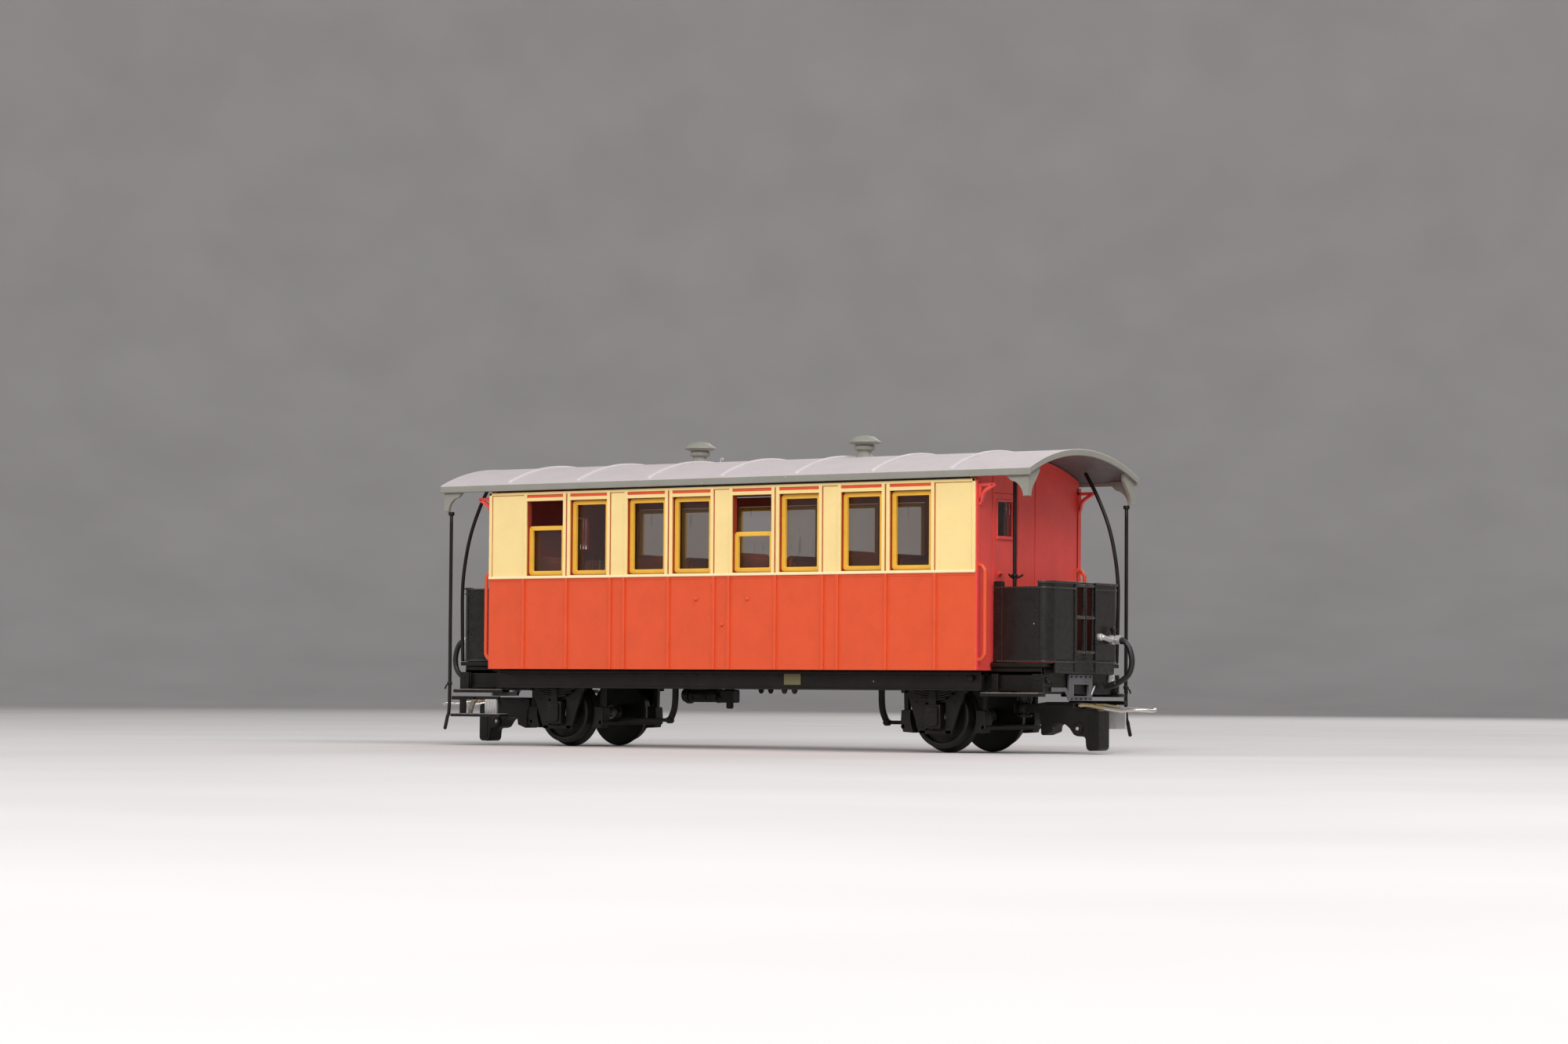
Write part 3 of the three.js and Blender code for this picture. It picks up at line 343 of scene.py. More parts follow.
class Shader:
    """A node material, with patterns measured in millimetres on the piece itself."""

    def __init__(self, name):
        self.material = bpy.data.materials.new(name)
        self.material.use_nodes = True
        self.tree = self.material.node_tree
        self.surface = self.tree.nodes["Principled BSDF"]
        place = self.node("ShaderNodeTexCoord")
        scaled = self.node("ShaderNodeVectorMath", {0: place.outputs["Object"]}, operation="SCALE")
        scaled.inputs["Scale"].default_value = 1 / MM
        self.place = scaled.outputs[0]

    def node(self, kind, inputs=None, **settings):
        made = self.tree.nodes.new(kind)
        for key, value in settings.items():
            setattr(made, key, value)
        for key, value in (inputs or {}).items():
            self.feed(made.inputs[key], value)
        return made

    def feed(self, socket, value):
        if isinstance(value, bpy.types.NodeSocket):
            self.tree.links.new(value, socket)
        else:
            socket.default_value = value

    def noise(self, per_mm, detail=3.0, stretch=(1, 1, 1)):
        place = self.node("ShaderNodeVectorMath", {0: self.place, 1: stretch}, operation="MULTIPLY")
        inputs = {"Vector": place.outputs[0], "Scale": per_mm, "Detail": detail}
        return self.node("ShaderNodeTexNoise", inputs).outputs["Fac"]

    def ranged(self, value, low, high, to_low, to_high):
        inputs = {0: value, 1: low, 2: high, 3: to_low, 4: to_high}
        return self.node("ShaderNodeMapRange", inputs).outputs[0]

    def math(self, operation, first, second):
        return self.node("ShaderNodeMath", {0: first, 1: second}, operation=operation).outputs[0]

    def mixed(self, factor, first, second):
        made = self.node("ShaderNodeMix", data_type="RGBA")
        for key, value in ((0, factor), (6, first), (7, second)):
            self.feed(made.inputs[key], value)
        return made.outputs[2]

    def specks(self, per_mm, share, radius):
        """1 on scattered specks of dust and 0 elsewhere; the share is of the cells that hold one."""
        cells = self.node("ShaderNodeTexVoronoi", {"Vector": self.place, "Scale": per_mm})
        spot = self.ranged(cells.outputs["Distance"], radius * per_mm * 0.6, radius * per_mm, 1.0, 0.0)
        channel = self.node("ShaderNodeSeparateColor", {0: cells.outputs["Color"]}).outputs[0]
        chosen = self.math("GREATER_THAN", channel, 1 - share)
        return self.math("MULTIPLY", spot, chosen)

    def bump(self, height, depth, below=None):
        """Raises the surface by a pattern; the depth is in millimetres."""
        inputs = {"Height": height, "Distance": depth * MM, "Strength": 1.0}
        if below is not None:
            inputs["Normal"] = below
        return self.node("ShaderNodeBump", inputs).outputs[0]


def moulded(
    name,
    colour,
    roughness,
    *,
    metallic=0.0,
    specular=0.5,
    blotch=0.06,
    grain=0.008,
    grain_per_mm=7.0,
    dust=0.05,
    dust_colour=(214, 208, 196),
    stretch=(1, 1, 1),
    second=None,
):
    """Painted or self-coloured plastic, or metal: slow blotches, fine grain and specks of dust."""
    shader = Shader(name)
    colour = linear(*colour)
    blotches = shader.ranged(shader.noise(0.35, 4.0, stretch), 0.3, 0.7, 0.0, 1.0)
    other = linear(*second) if second else shade(colour, 1 + blotch)
    base = shader.mixed(blotches, shade(colour, 1 - blotch), other)
    mottled = shader.ranged(shader.noise(2.6, 3.0, stretch), 0.35, 0.65, 0.0, 1.0)
    base = shader.mixed(shader.math("MULTIPLY", mottled, 0.35), base, shade(colour, 1 + 1.6 * blotch))
    rough = shader.ranged(shader.noise(1.1, 4.0, stretch), 0.3, 0.7, roughness - 0.07, roughness + 0.07)
    if dust:
        spots = shader.specks(0.75, dust, 0.085)
        base = shader.mixed(shader.math("MULTIPLY", spots, 0.85), base, linear(*dust_colour))
        rough = shader.math("MAXIMUM", rough, shader.math("MULTIPLY", spots, 0.8))
    fine = shader.noise(grain_per_mm, 2.0, stretch)
    normal = shader.bump(fine, grain)
    normal = shader.bump(shader.noise(0.55, 2.0, stretch), grain * 2.5, normal)
    shader.feed(shader.surface.inputs["Base Color"], base)
    shader.feed(shader.surface.inputs["Roughness"], rough)
    shader.feed(shader.surface.inputs["Normal"], normal)
    shader.surface.inputs["Metallic"].default_value = metallic
    shader.surface.inputs["Specular IOR Level"].default_value = specular
    return shader.material


def glazing(name, tint, haze):
    """Clear moulded pane: lets light through, mirrors at a slant, with dust and fine scratches."""
    shader = Shader(name)
    clear = shader.node("ShaderNodeBsdfTransparent", {"Color": linear(*tint)})
    gloss = shader.node("ShaderNodeBsdfGlossy", {"Roughness": 0.06})
    film = shader.node("ShaderNodeBsdfDiffuse", {"Color": linear(150, 140, 135)})
    slant = shader.node("ShaderNodeFresnel", {"IOR": 1.46})
    wave = shader.bump(shader.noise(0.3, 1.0), 0.02)
    shader.feed(gloss.inputs["Normal"], wave)
    shader.feed(slant.inputs["Normal"], wave)
    mix = {0: slant.outputs[0], 1: clear.outputs[0], 2: gloss.outputs[0]}
    glass = shader.node("ShaderNodeMixShader", mix)
    spots = shader.specks(0.55, 0.35, 0.07)
    scratch = shader.ranged(shader.noise(1.4, 6.0, (1.0, 1.0, 0.12)), 0.66, 0.7, 0.0, 0.25)
    cloud = shader.ranged(shader.noise(0.25, 3.0), 0.3, 0.75, haze * 0.5, haze)
    cover = shader.math("MAXIMUM", shader.math("MAXIMUM", spots, scratch), cloud)
    dusty = shader.node("ShaderNodeMixShader", {0: cover, 1: glass.outputs[0], 2: film.outputs[0]})
    output = shader.tree.nodes["Material Output"]
    shader.feed(output.inputs["Surface"], dusty.outputs[0])
    shader.tree.nodes.remove(shader.surface)
    return shader.material


RED = moulded("red_paint", (223, 82, 40), 0.42, blotch=0.05, dust=0.04, dust_colour=(240, 190, 160))
# a pinker, brighter copy of the red paint for the end walls: painted cool light from the right
END_RED_COOL_LIT = moulded(
    "red_paint_painted_cool_light", (230, 76, 68), 0.4, blotch=0.06, dust=0.05, dust_colour=(238, 180, 170)
)
# darker red for the window reveals and the thin lines beside the cream strips; the lines are painted shade
# at the strips' roots, partly a paint line
DARK_RED = moulded("red_plastic_and_painted_shade_lines", (168, 62, 36), 0.5, blotch=0.08, dust=0.0)
CREAM = moulded(
    "cream_paint", (248, 220, 150), 0.42, blotch=0.03, dust=0.02, dust_colour=(180, 150, 90)
)
# a paler cream for the waist rail: painted highlight on its lit top
WAIST_HIGHLIGHT_CREAM = moulded("cream_painted_highlight", (252, 232, 186), 0.38, blotch=0.02, dust=0.0)
OCHRE = moulded(
    "ochre_plastic", (238, 184, 62), 0.36, blotch=0.07, dust=0.05, dust_colour=(250, 226, 160)
)
BROWN = moulded(
    "brown_plastic", (186, 100, 66), 0.5, blotch=0.12, dust=0.08, dust_colour=(170, 120, 100)
)
ROOF_GREY = moulded(
    "roof_grey_paint", (196, 186, 186), 0.55, blotch=0.04, grain=0.02, grain_per_mm=6.0
)
# a lighter grey for the standing seams: painted highlight along the seams
SEAM_HIGHLIGHT_GREY = moulded(
    "seam_painted_highlight", (204, 196, 196), 0.5, blotch=0.05, grain=0.02, grain_per_mm=6.0
)
# dark grey for the roof's underside: painted shade under the roof
ROOF_UNDERSIDE_SHADE = moulded("roof_underside_painted_shade", (92, 88, 88), 0.6, blotch=0.06, dust=0.0)
# darker greenish grey for the gussets, the vents and the roof's steep faces; on the fascia and the roof
# ends it is painted shade
GREY_TRIM_AND_SHADE = moulded("grey_trim_and_painted_shade", (140, 139, 129), 0.5, blotch=0.06, grain=0.02, dust=0.03)
BLACK = moulded(
    "black_plastic", (15, 13, 11), 0.42, specular=0.3, blotch=0.2, second=(26, 23, 18), dust=0.07
)
SATIN_BLACK = moulded(
    "black_sheet", (17, 16, 14), 0.3, blotch=0.15, grain=0.004, second=(28, 26, 22), dust=0.06
)
# a lighter, glossier black for rims, rails and foot angles: painted highlight along the edges
RIM_HIGHLIGHT_BLACK = moulded(
    "black_rim_painted_highlight", (44, 42, 38), 0.24, blotch=0.2, grain=0.004, second=(62, 58, 50), dust=0.08
)
RUNNING_BLACK = moulded(
    "black_running_gear", (16, 15, 12), 0.48, specular=0.35, blotch=0.2, second=(25, 23, 18), dust=0.06
)
RUBBER = moulded("black_rubber", (24, 23, 23), 0.45, blotch=0.15, grain=0.02, dust=0.06)
ZINC = moulded(
    "grey_casting", (118, 116, 120), 0.42, metallic=0.55, blotch=0.14, grain=0.03, dust=0.05
)
STEEL = moulded(
    "bright_steel", (206, 202, 198), 0.26, metallic=0.85, blotch=0.1, dust=0.0, stretch=(1, 6, 1)
)
DARK_STEEL = moulded("blackened_steel", (54, 52, 50), 0.38, metallic=0.6, blotch=0.15, dust=0.0)
PALE_STEEL = moulded(
    "worn_steel", (196, 194, 192), 0.4, metallic=0.6, blotch=0.12, grain=0.04, dust=0.08
)
# a pale grey for the tread ribs and the lower step's strut: wear, and a painted highlight where light
# grazes the treads
PALE_WEAR_AND_HIGHLIGHT = moulded(
    "pale_wear_and_painted_highlight", (150, 142, 130), 0.45, metallic=0.2, blotch=0.2, second=(96, 90, 82), dust=0.05
)
BRASS = moulded(
    "brass_wire", (186, 160, 112), 0.32, metallic=0.8, blotch=0.12, dust=0.02, second=(208, 190, 150)
)
OLIVE = moulded("olive_label", (104, 102, 70), 0.5, blotch=0.1, dust=0.02)
GLASS = glazing("clear_pane", (248, 246, 244), 0.03)


# ---------------------------------------------------------------- body: side walls
RIB = {"width": 0.46, "proud": 0.24, "beside_pair": 7.4}
TRIM = {"width": 0.46, "proud": 0.17, "rail_top": 33.82, "frieze_top": 34.22}


@drawn
def upper_wall(made, side):
    """The cream band: a wall with eight openings, framed by raised strips."""
    end, face, wall = BODY["end"], BODY["side"], BODY["wall"]
    bottom, top = BODY["split"], BODY["top"]
    half = WINDOW["width"] / 2
    holes = [rectangle(x - half, x + half, WINDOW["bottom"], WINDOW["top"]) for x in window_middles]

    def tag(f):
        return int(f.normal.y * side <= 0.3)

    outline = rectangle(-end, end, bottom, top)
    made.side_slab(side, outline, face - wall, face, holes=holes, edge=0.03, tag=tag)
    width, proud = TRIM["width"], TRIM["proud"]

    def strip(x0, x1, z0, z1, height=proud, tag=0):
        made.side_box(side, x0, x1, face - LAP, face + height, z0, z1, tag=tag, edge=0.05)

    strip(-end, end, TRIM["frieze_top"], top)
    for edge in SIDES:
        strip(*sorted((edge * end, edge * (end - width))), bottom, top)
    for x in window_middles:
        strip(x - half - width, x - half, bottom, top - LAP, proud + 0.02)
        strip(x + half, x + half + width, bottom, top - LAP, proud + 0.02)
        strip(x - half - LAP, x + half + LAP, WINDOW["top"], TRIM["rail_top"])
        strip(x - half, x + half, TRIM["rail_top"], TRIM["frieze_top"], 0.03, tag=2)
        # a thin dark red line beside each window strip: painted shade at its root, partly a paint line
        for way in SIDES:
            edge = x + way * (half + width)
            strip(edge - 0.04, edge + 0.1 * way + 0.04, bottom + 0.3, TRIM["frieze_top"], 0.035, tag=1)
    # the same dark lines beside the corner strips and under the frieze: painted shade, partly a paint line
    for edge in SIDES:
        line = edge * (end - width - 0.04)
        strip(line - 0.05, line + 0.05, bottom + 0.3, TRIM["frieze_top"], 0.035, tag=1)
    strip(-end + width, end - width, TRIM["frieze_top"] - 0.08, TRIM["frieze_top"] + 0.02, 0.035, tag=1)


@drawn
def lower_wall(made, side):
    """The red panels with their raised ribs."""
    end, face, wall = BODY["end"], BODY["side"], BODY["wall"]
    made.side_slab(side, rectangle(-end, end, BODY["bottom"], BODY["split"]), face - wall, face, edge=0.08)
    half = RIB["width"] / 2
    for pair in PAIRS:
        for x in (pair - RIB["beside_pair"], pair, pair + RIB["beside_pair"]):
            sides = (x - half, x + half, face - LAP, face + RIB["proud"])
            made.side_box(side, *sides, BODY["bottom"], BODY["split"], edge=0.09)
    made.side_box(side, -end, end, face - LAP, face + 0.06, BODY["split"] - 0.35, BODY["split"], edge=0.04)
    for x, z in ((-4.05, 19.8), (4.16, 19.75), (0.17, 16.4)):
        made.rivet((-side * x, side * face, z), facing(side), radius=0.28, height=0.3)


@drawn
def waist_rail(made, side):
    end, face = BODY["end"], BODY["side"]
    # the rail is drawn in the paler cream: painted highlight
    made.side_box(side, -end, end, face - LAP, face + 0.3, 22.78, 23.12, edge=0.09)


# ---------------------------------------------------------------- body: end walls
def arch_outline(y0, y1, bottom, lift, steps):
    """From y0 to y1: straight sides, a flat foot and the roof's arch on top."""
    ys = [y1 + (y0 - y1) * i / steps for i in range(steps + 1)]
    return [(y0, bottom), (y1, bottom), *[(y, arch(y, lift)) for y in ys]]


BOARDS = {"half": 12.9, "gap": 0.11, "groove": 0.16}
POST = {"inner": 12.4, "outer": 13.14, "top": 34.55}


@drawn
def end_wall(made):
    """Boards, door and door window, with corner posts and a door handle."""
    end, bottom, half, gap = BODY["end"], BODY["bottom"], BOARDS["half"], BOARDS["gap"]
    back, skin = end - BODY["wall"], end - BOARDS["groove"]
    near, far, joint = DOOR["near"], DOOR["far"], DOOR["joint"]
    hole = rectangle(DOOR_WINDOW["near"], DOOR_WINDOW["far"], DOOR_WINDOW["bottom"], DOOR_WINDOW["top"])
    made.slab("YZ", arch_outline(-half, half, bottom, -0.1, 30), back, skin, holes=[hole], edge=0)
    for y0, y1 in ((-half, near), (far, joint), (joint, half)):
        outline = arch_outline(y0 + gap, y1 - gap, bottom, -0.14, 8)
        made.slab("YZ", outline, skin - LAP, end, edge=0.05)
    leaf = rectangle(near + gap, far - gap, DOOR["foot"], DOOR["top"])
    made.slab("YZ", leaf, skin - LAP, end, holes=[hole], edge=0.05)
    above = arch_outline(near + gap, far - gap, DOOR["top"] + 0.15, -0.14, 6)
    below = rectangle(near + gap, far - gap, bottom, DOOR["foot"] - 0.15)
    for outline in (above, below):
        made.slab("YZ", outline, skin - LAP, end)
    for side in SIDES:
        made.side_box(
            side, end - 0.9, end + 0.14, POST["inner"], POST["outer"], bottom, POST["top"], edge=0.08
        )
        bracket(made, side)
    door_furniture(made, DOOR_WINDOW["near"], DOOR_WINDOW["far"])


def door_furniture(made, near, far):
    """A lever handle on its rose, a sill and a thin frame round the door window."""
    end = BODY["end"]
    sill, lintel = DOOR_WINDOW["bottom"], DOOR_WINDOW["top"]
    frame_width = 0.26
    ring = rectangle(near - frame_width, far + frame_width, sill - frame_width, lintel + frame_width)
    made.slab("YZ", ring, end - LAP, end + 0.1, holes=[rectangle(near, far, sill, lintel)], edge=0.04)
    made.box(end - LAP, end + 0.3, near - 0.35, far + 0.35, sill - 0.42, sill - 0.14)
    y, z = HANDLE
    made.disc("X", y, z, 0.32, end - LAP, end + 0.22, sides=20)
    lever = [(end + 0.1, y, z), (end + 0.42, y - 0.1, z + 0.03), (end + 0.48, y - 0.9, z + 0.11)]
    made.tube(smooth(lever), 0.15)


def bracket(made, side):
    """Openwork roof bracket: two arms and a curved brace."""
    inner, outer = 12.2, 12.7
    x, top, bar, drop, reach = BODY["end"], 34.05, 0.42, 2.75, 2.45
    made.side_box(side, x - LAP, x + bar, inner, outer, top - drop, top)
    made.side_box(side, x, x + reach, inner, outer, top - bar, top)
    curve = smooth([(x + 0.3, top - 2.4, 0), (x + 0.75, top - 1.2, 0), (x + 2.2, top - 0.3, 0)])
    made.side_slab(side, swept(curve, bar), inner, outer, edge=0.05)
    made.rivet((x + bar / 2, side * outer, top - 0.25), facing(side), radius=0.2)


# ---------------------------------------------------------------- windows
SASH = {"frame": 0.58, "thick": 0.42, "set_back": 0.42, "fit": 0.06, "corner": 0.42}


def sash_top(number, side):
    lowered = LOWERED.get(number) if side < 0 else None
    return lowered or WINDOW["top"] - SASH["fit"]


@drawn
def sash_frames(made, side):
    outer = BODY["side"] - SASH["set_back"]
    half = WINDOW["width"] / 2 - SASH["fit"]
    low = WINDOW["bottom"] + SASH["fit"]
    f = SASH["frame"]
    for number, x in enumerate(window_middles):
        high = sash_top(number, side)
        frame_line = rounded(x - half, x + half, low, high, SASH["corner"])
        hole = rounded(x - half + f, x + half - f, low + f, high - f, 0.14, 3)
        made.side_slab(side, frame_line, outer - SASH["thick"], outer, holes=[hole], edge=0.07)


@drawn
def window_panes(made, side):
    back = BODY["side"] - BODY["wall"]
    half = WINDOW["width"] / 2
    low = WINDOW["bottom"] + 0.2
    for number, x in enumerate(window_middles):
        high = min(sash_top(number, side) - 0.2, WINDOW["top"])
        made.side_box(side, x - half, x + half, back - 0.3, back - 0.05, low, high, edge=0.03)


@drawn
def door_pane(made):
    x = BODY["end"] - 0.6
    near, far = DOOR_WINDOW["near"] + LAP, DOOR_WINDOW["far"] - LAP
    made.box(x, x + 0.25, near, far, DOOR_WINDOW["bottom"] + LAP, DOOR_WINDOW["top"] - LAP, edge=0.03)


# ---------------------------------------------------------------- inside
BENCH = {"pitch": 17.1, "aisle": 2.4, "back": 0.45, "seat": 3.9, "base": 3.3, "seat_top": 16.4}


@drawn
def saloon(made):
    """Floor and back-to-back benches on both sides of the aisle."""
    low, high = span("interior")
    floor, wall, top = low.z, high.y, high.z
    made.box(low.x, high.x, low.y, high.y, floor, floor + 0.8)
    for side in SIDES:
        y0, y1 = outward(side, BENCH["aisle"], wall)
        for n in range(-2, 3):
            x = n * BENCH["pitch"]
            back = rounded(y0, y1, floor + 0.6, top, 0.9, 5)
            made.slab("YZ", back, x - BENCH["back"], x + BENCH["back"], edge=0.22, segments=3)
            for way in SIDES:
                if abs(x + way * 4) > high.x:
                    continue
                start, seat_top = x + way * 0.35, BENCH["seat_top"]
                x0, x1 = sorted((start, x + way * BENCH["seat"]))
                made.box(x0, x1, y0 + 0.1, y1, seat_top - 1.0, seat_top, edge=0.35, segments=3)
                x0, x1 = sorted((start, x + way * BENCH["base"]))
                made.box(x0, x1, y0 + 0.5, y1, floor + 0.6, seat_top - 0.9)
                cushion = rounded(y0 + 0.35, y1 - 0.35, seat_top + 0.5, top - 0.6, 0.7, 5)
                made.slab("YZ", cushion, *sorted((x + way * 0.4, x + way * 0.75)), edge=0.15)


# ---------------------------------------------------------------- roof
SEAM = {"pitch": 11.87, "width": 0.7, "proud": 0.26, "short_of_eave": 0.5}
FASCIA = {"width": 0.4, "drop": 0.25}


@drawn
def roof_cover(made):
    """One arched sheet with standing seams and a lip along every edge."""
    end, side, thick = ROOF["end"], ROOF["side"], ROOF["thick"]
    steps = 40
    over = [side * (1 - 2 * i / steps) for i in range(steps + 1)]
    outer = [(y, arch(y, thick)) for y in over]
    under = [y * (side - FASCIA["width"]) / side for y in reversed(over)]
    inner = [(y, arch(y)) for y in under]
    lip = ROOF["eave"] - FASCIA["drop"]
    left_lip = [(-side, lip), (-side + FASCIA["width"], lip)]
    right_lip = [(side - FASCIA["width"], lip), (side, lip)]
    section = [*outer, *left_lip, *inner, *right_lip]

    def tag(face):
        # downward faces take the dark underside grey: painted shade
        if face.normal.z < -0.6:
            return 3
        # steep faces take the darker grey: painted shade on the fascia and the roof's end faces
        return 1 if face.normal.z < 0.35 else 0

    made.slab("YZ", section, -end, end, edge=0.1, tag=tag)
    reach = side - SEAM["short_of_eave"]
    for n in range(-3, 4):
        ys = [reach * (1 - 2 * i / steps) for i in range(steps + 1)]
        ridge = [(y, arch(y, thick + SEAM["proud"])) for y in ys]
        root = [(y, arch(y, thick - 0.3)) for y in reversed(ys)]
        x = n * SEAM["pitch"]
        x0, x1 = x - SEAM["width"] / 2, x + SEAM["width"] / 2
        # the seams take the lighter grey: painted highlight
        made.slab("YZ", ridge + root, x0, x1, edge=0.22, segments=4, tag=2)
    for way in SIDES:
        band_y = side - 0.1
        ys = [band_y * (1 - 2 * i / steps) for i in range(steps + 1)]
        band = [(y, arch(y, thick + 0.04)) for y in ys] + [(y, arch(y, -0.12)) for y in reversed(ys)]
        x0, x1 = sorted((way * (end - 0.3), way * (end + 0.04)))
        # the end band's steep faces take the darker grey: painted shade
        made.slab("YZ", band, x0, x1, edge=0.07, tag=lambda f: 0 if f.normal.z > 0.35 else 1)
    hook = [(-9.6, 0, 38.6), (-9.6, 0, 39.15), (-9.35, 0, 39.3), (-9.2, 0, 39.05)]
    made.tube(smooth(hook), 0.09, sides=8)


@drawn
def gussets(made):
    """Two plates at right angles under each corner of the roof, cut to a hollow curve."""
    reach, drop, foot, thick = 2.75, 2.8, 0.75, 0.45
    corner_x, corner_y = ROOF["end"] - 0.45, ROOF["side"] - 0.45
    step = 0.015  # keeps the end of each plate just inside the face of the other
    hollow = arc(-reach - 0.05, -drop - 0.1, reach - foot + 0.05, 0, 82, 8)
    blade = [(0, 0.3), (-reach - 0.6, 0.3), (-reach - 0.6, -0.12), *reversed(hollow)]
    blade += [(-foot, -drop), (0, -drop)]
    eave = ROOF["eave"]
    under = [(-reach * n / 6, arch(corner_y - reach * n / 6, 0.15)) for n in range(7)]
    swoop = arc(-reach - 0.3, eave - drop - 0.1, reach - foot + 0.3, 0, 50, 8)
    cross = [*under, (-reach, eave + 0.3), *reversed(swoop), (-foot, eave - drop), (0, eave - drop)]
    for x_way in SIDES:
        for y_way in SIDES:
            x_line = [(x_way * (corner_x + min(u, -step)), eave + v) for u, v in blade]
            y_line = [(y_way * (corner_y + min(u, -step)), v) for u, v in cross]
            y0, y1 = outward(y_way, corner_y - thick, corner_y)
            x0, x1 = outward(x_way, corner_x - thick, corner_x)
            made.slab("XZ", x_line, y0, y1, edge=0.08)
            made.slab("YZ", y_line, x0, x1, edge=0.08)


@drawn
def ventilator(made, node):
    """Round ventilator: flared foot, neck, collar and a wide cap."""
    low, high = span(node)
    x, base, top = (low.x + high.x) / 2, low.z, high.z
    height, cap = top - base, (high.x - low.x) / 2
    profile = [
        (0, -0.3),
        (1.22, -0.3),
        (1.18, 0.12),
        (0.96, 0.3),
        (0.9, 0.62),
        (0.94, 0.8),
        (1.3, 0.95),
        (1.38, 1.08),
        (1.36, 1.42),
        (1.25, 1.5),
        (1.2, 1.62),
        (1.72, 1.72),
        (cap - 0.1, 1.86),
        (cap, 1.96),
        (cap - 0.05, 2.1),
        (cap - 0.4, 2.32),
        (1.25, height - 0.16),
        (0.5, height - 0.03),
        (0, height),
    ]
    made.lathe(profile, (x, 0, base))


# ---------------------------------------------------------------- underframe
IRON = {"face": 8.8, "thick": 0.5, "foot": 2.4, "slot": 1.5, "slot_top": 6.4, "top": 10.2, "half": 4.4}
AXLEBOX = {"half": 1.2, "face": 9.6, "bottom": 3.1, "top": 6.2}
SPRING = {"half": 4.6, "rise": 1.15, "eye": 7.7, "leaf": 0.26, "leaves": 4, "step": 0.3, "shorter": 0.9}


def wheel_guard(made, x, side):
    """A W-iron with its axlebox, leaf spring and spring hangers."""
    face, foot, slot, slot_top = IRON["face"], IRON["foot"], IRON["slot"], IRON["slot_top"]
    back, half, top = face - IRON["thick"], IRON["half"], IRON["top"]
    iron = [(foot, foot), (half, 7.9), (half, top), (-half, top), (-half, 7.9), (-foot, foot)]
    iron += [(-slot, foot), (-slot, slot_top), (slot, slot_top), (slot, foot)]
    made.side_slab(side, [(x + u, v) for u, v in iron], back, face, edge=0.07)
    made.side_box(side, x - foot, x + foot, back, face, foot, foot + 0.5, edge=0.07)
    for u, z in ((3.9, 8.5), (3.9, 9.7), (1.95, 3.4), (2.9, slot_top)):
        for way in SIDES:
            made.rivet((x + way * u, side * face, z), facing(side), radius=0.17)
    axlebox(made, x, side)
    for n in range(SPRING["leaves"]):
        reach = SPRING["half"] - n * SPRING["shorter"]
        places = [reach * t / 6 for t in range(-6, 7)]
        height = SPRING["eye"] - n * SPRING["step"]
        curve = [(x + u, height + SPRING["rise"] * (u / SPRING["half"]) ** 2, 0) for u in places]
        made.side_slab(side, swept(curve, SPRING["leaf"]), face - 0.1, face + 0.65, edge=0.05)
    made.side_box(side, x - 0.55, x + 0.55, face - 0.1, face + 0.8, 6.1, 7.95, edge=0.08)
    for way in SIDES:
        eye = x + way * SPRING["half"]
        made.side_box(side, eye - 0.3, eye + 0.3, face - 0.1, face + 0.5, 7.6, 9.9, edge=0.08)
        made.rivet((eye, side * (face + 0.5), 8.35), facing(side), radius=0.2)


def axlebox(made, x, side):
    """The box around the axle's end, with a round-cornered cover, its lip and two bolts."""
    half, face, bottom, top = (AXLEBOX[key] for key in ("half", "face", "bottom", "top"))
    made.side_box(side, x - half, x + half, IRON["face"] - 0.4, face, bottom, top, edge=0.18, segments=3)
    cover = rounded(x - half + 0.3, x + half - 0.3, bottom + 0.3, top - 0.3, 0.4)
    made.side_slab(side, cover, face - 0.1, face + 0.3, edge=0.1)
    made.side_box(side, x - 0.5, x + 0.5, face, face + 0.35, top - 1.0, top - 0.6)
    for u in (-0.65, 0.65):
        made.rivet((x + u, side * (face + 0.28), bottom + 0.55), facing(side), radius=0.12)


SOLEBAR = {"inner": 10.4, "face": 11.2, "flange": 11.42, "bottom": 7.95, "top": 10.3}
PAN = {"bottom": 9.9, "top": 10.45}
SOLE_RIVETS = {"pitch": 2.62, "each_way": 14}
JOIST_PITCH = 10.5


@drawn
def underframe(made):
    """Floor pan, solebars and joists of the body, and the wheel guards."""
    end = BODY["end"] - 0.3
    inner, face, flange, bottom, top = SOLEBAR.values()
    made.box(-end, end, -face, face, PAN["bottom"], PAN["top"])
    for side in SIDES:
        made.side_box(side, -end, end, inner, face, bottom, top)
        made.side_box(side, -end, end, face - 0.1, flange, bottom, bottom + 0.25, edge=0.05)
        made.side_box(side, -end, end, face - 0.1, flange, top - 0.3, top, edge=0.05)
        for n in range(-SOLE_RIVETS["each_way"], SOLE_RIVETS["each_way"] + 1):
            place = (n * SOLE_RIVETS["pitch"], side * face, 9.75)
            made.rivet(place, facing(side), radius=0.1, height=0.07)
        for x in (8.6, 10.2):
            made.rivet((-side * x, side * (face - 0.3), bottom), "-Z", radius=0.42, height=0.6)
        made.disc("Y", -side * 37.5, 9.5, 0.34, *outward(side, face - 0.1, face + 0.55), edge=0.1)
        for x in (-AXLE["x"], AXLE["x"]):
            wheel_guard(made, x, side)
    for n in (-3, -2, -1, 1, 2, 3):
        x = n * JOIST_PITCH
        made.box(x - 0.35, x + 0.35, -inner, inner, 9.0, PAN["bottom"] + LAP)


@drawn
def label_plates(made):
    """The plain label plate on each solebar."""
    for side in SIDES:
        x0, x1 = sorted((-side * 8.8, -side * 11.4))
        face = SOLEBAR["face"]
        made.side_box(side, x0, x1, face - LAP, face + 0.16, 8.55, 10.0, edge=0.04)


PLATFORM = {"inner": 36.6, "beam": 45.6, "front": 46.4, "skirt": 9.2, "planks": 7, "plank_top": 11.5}


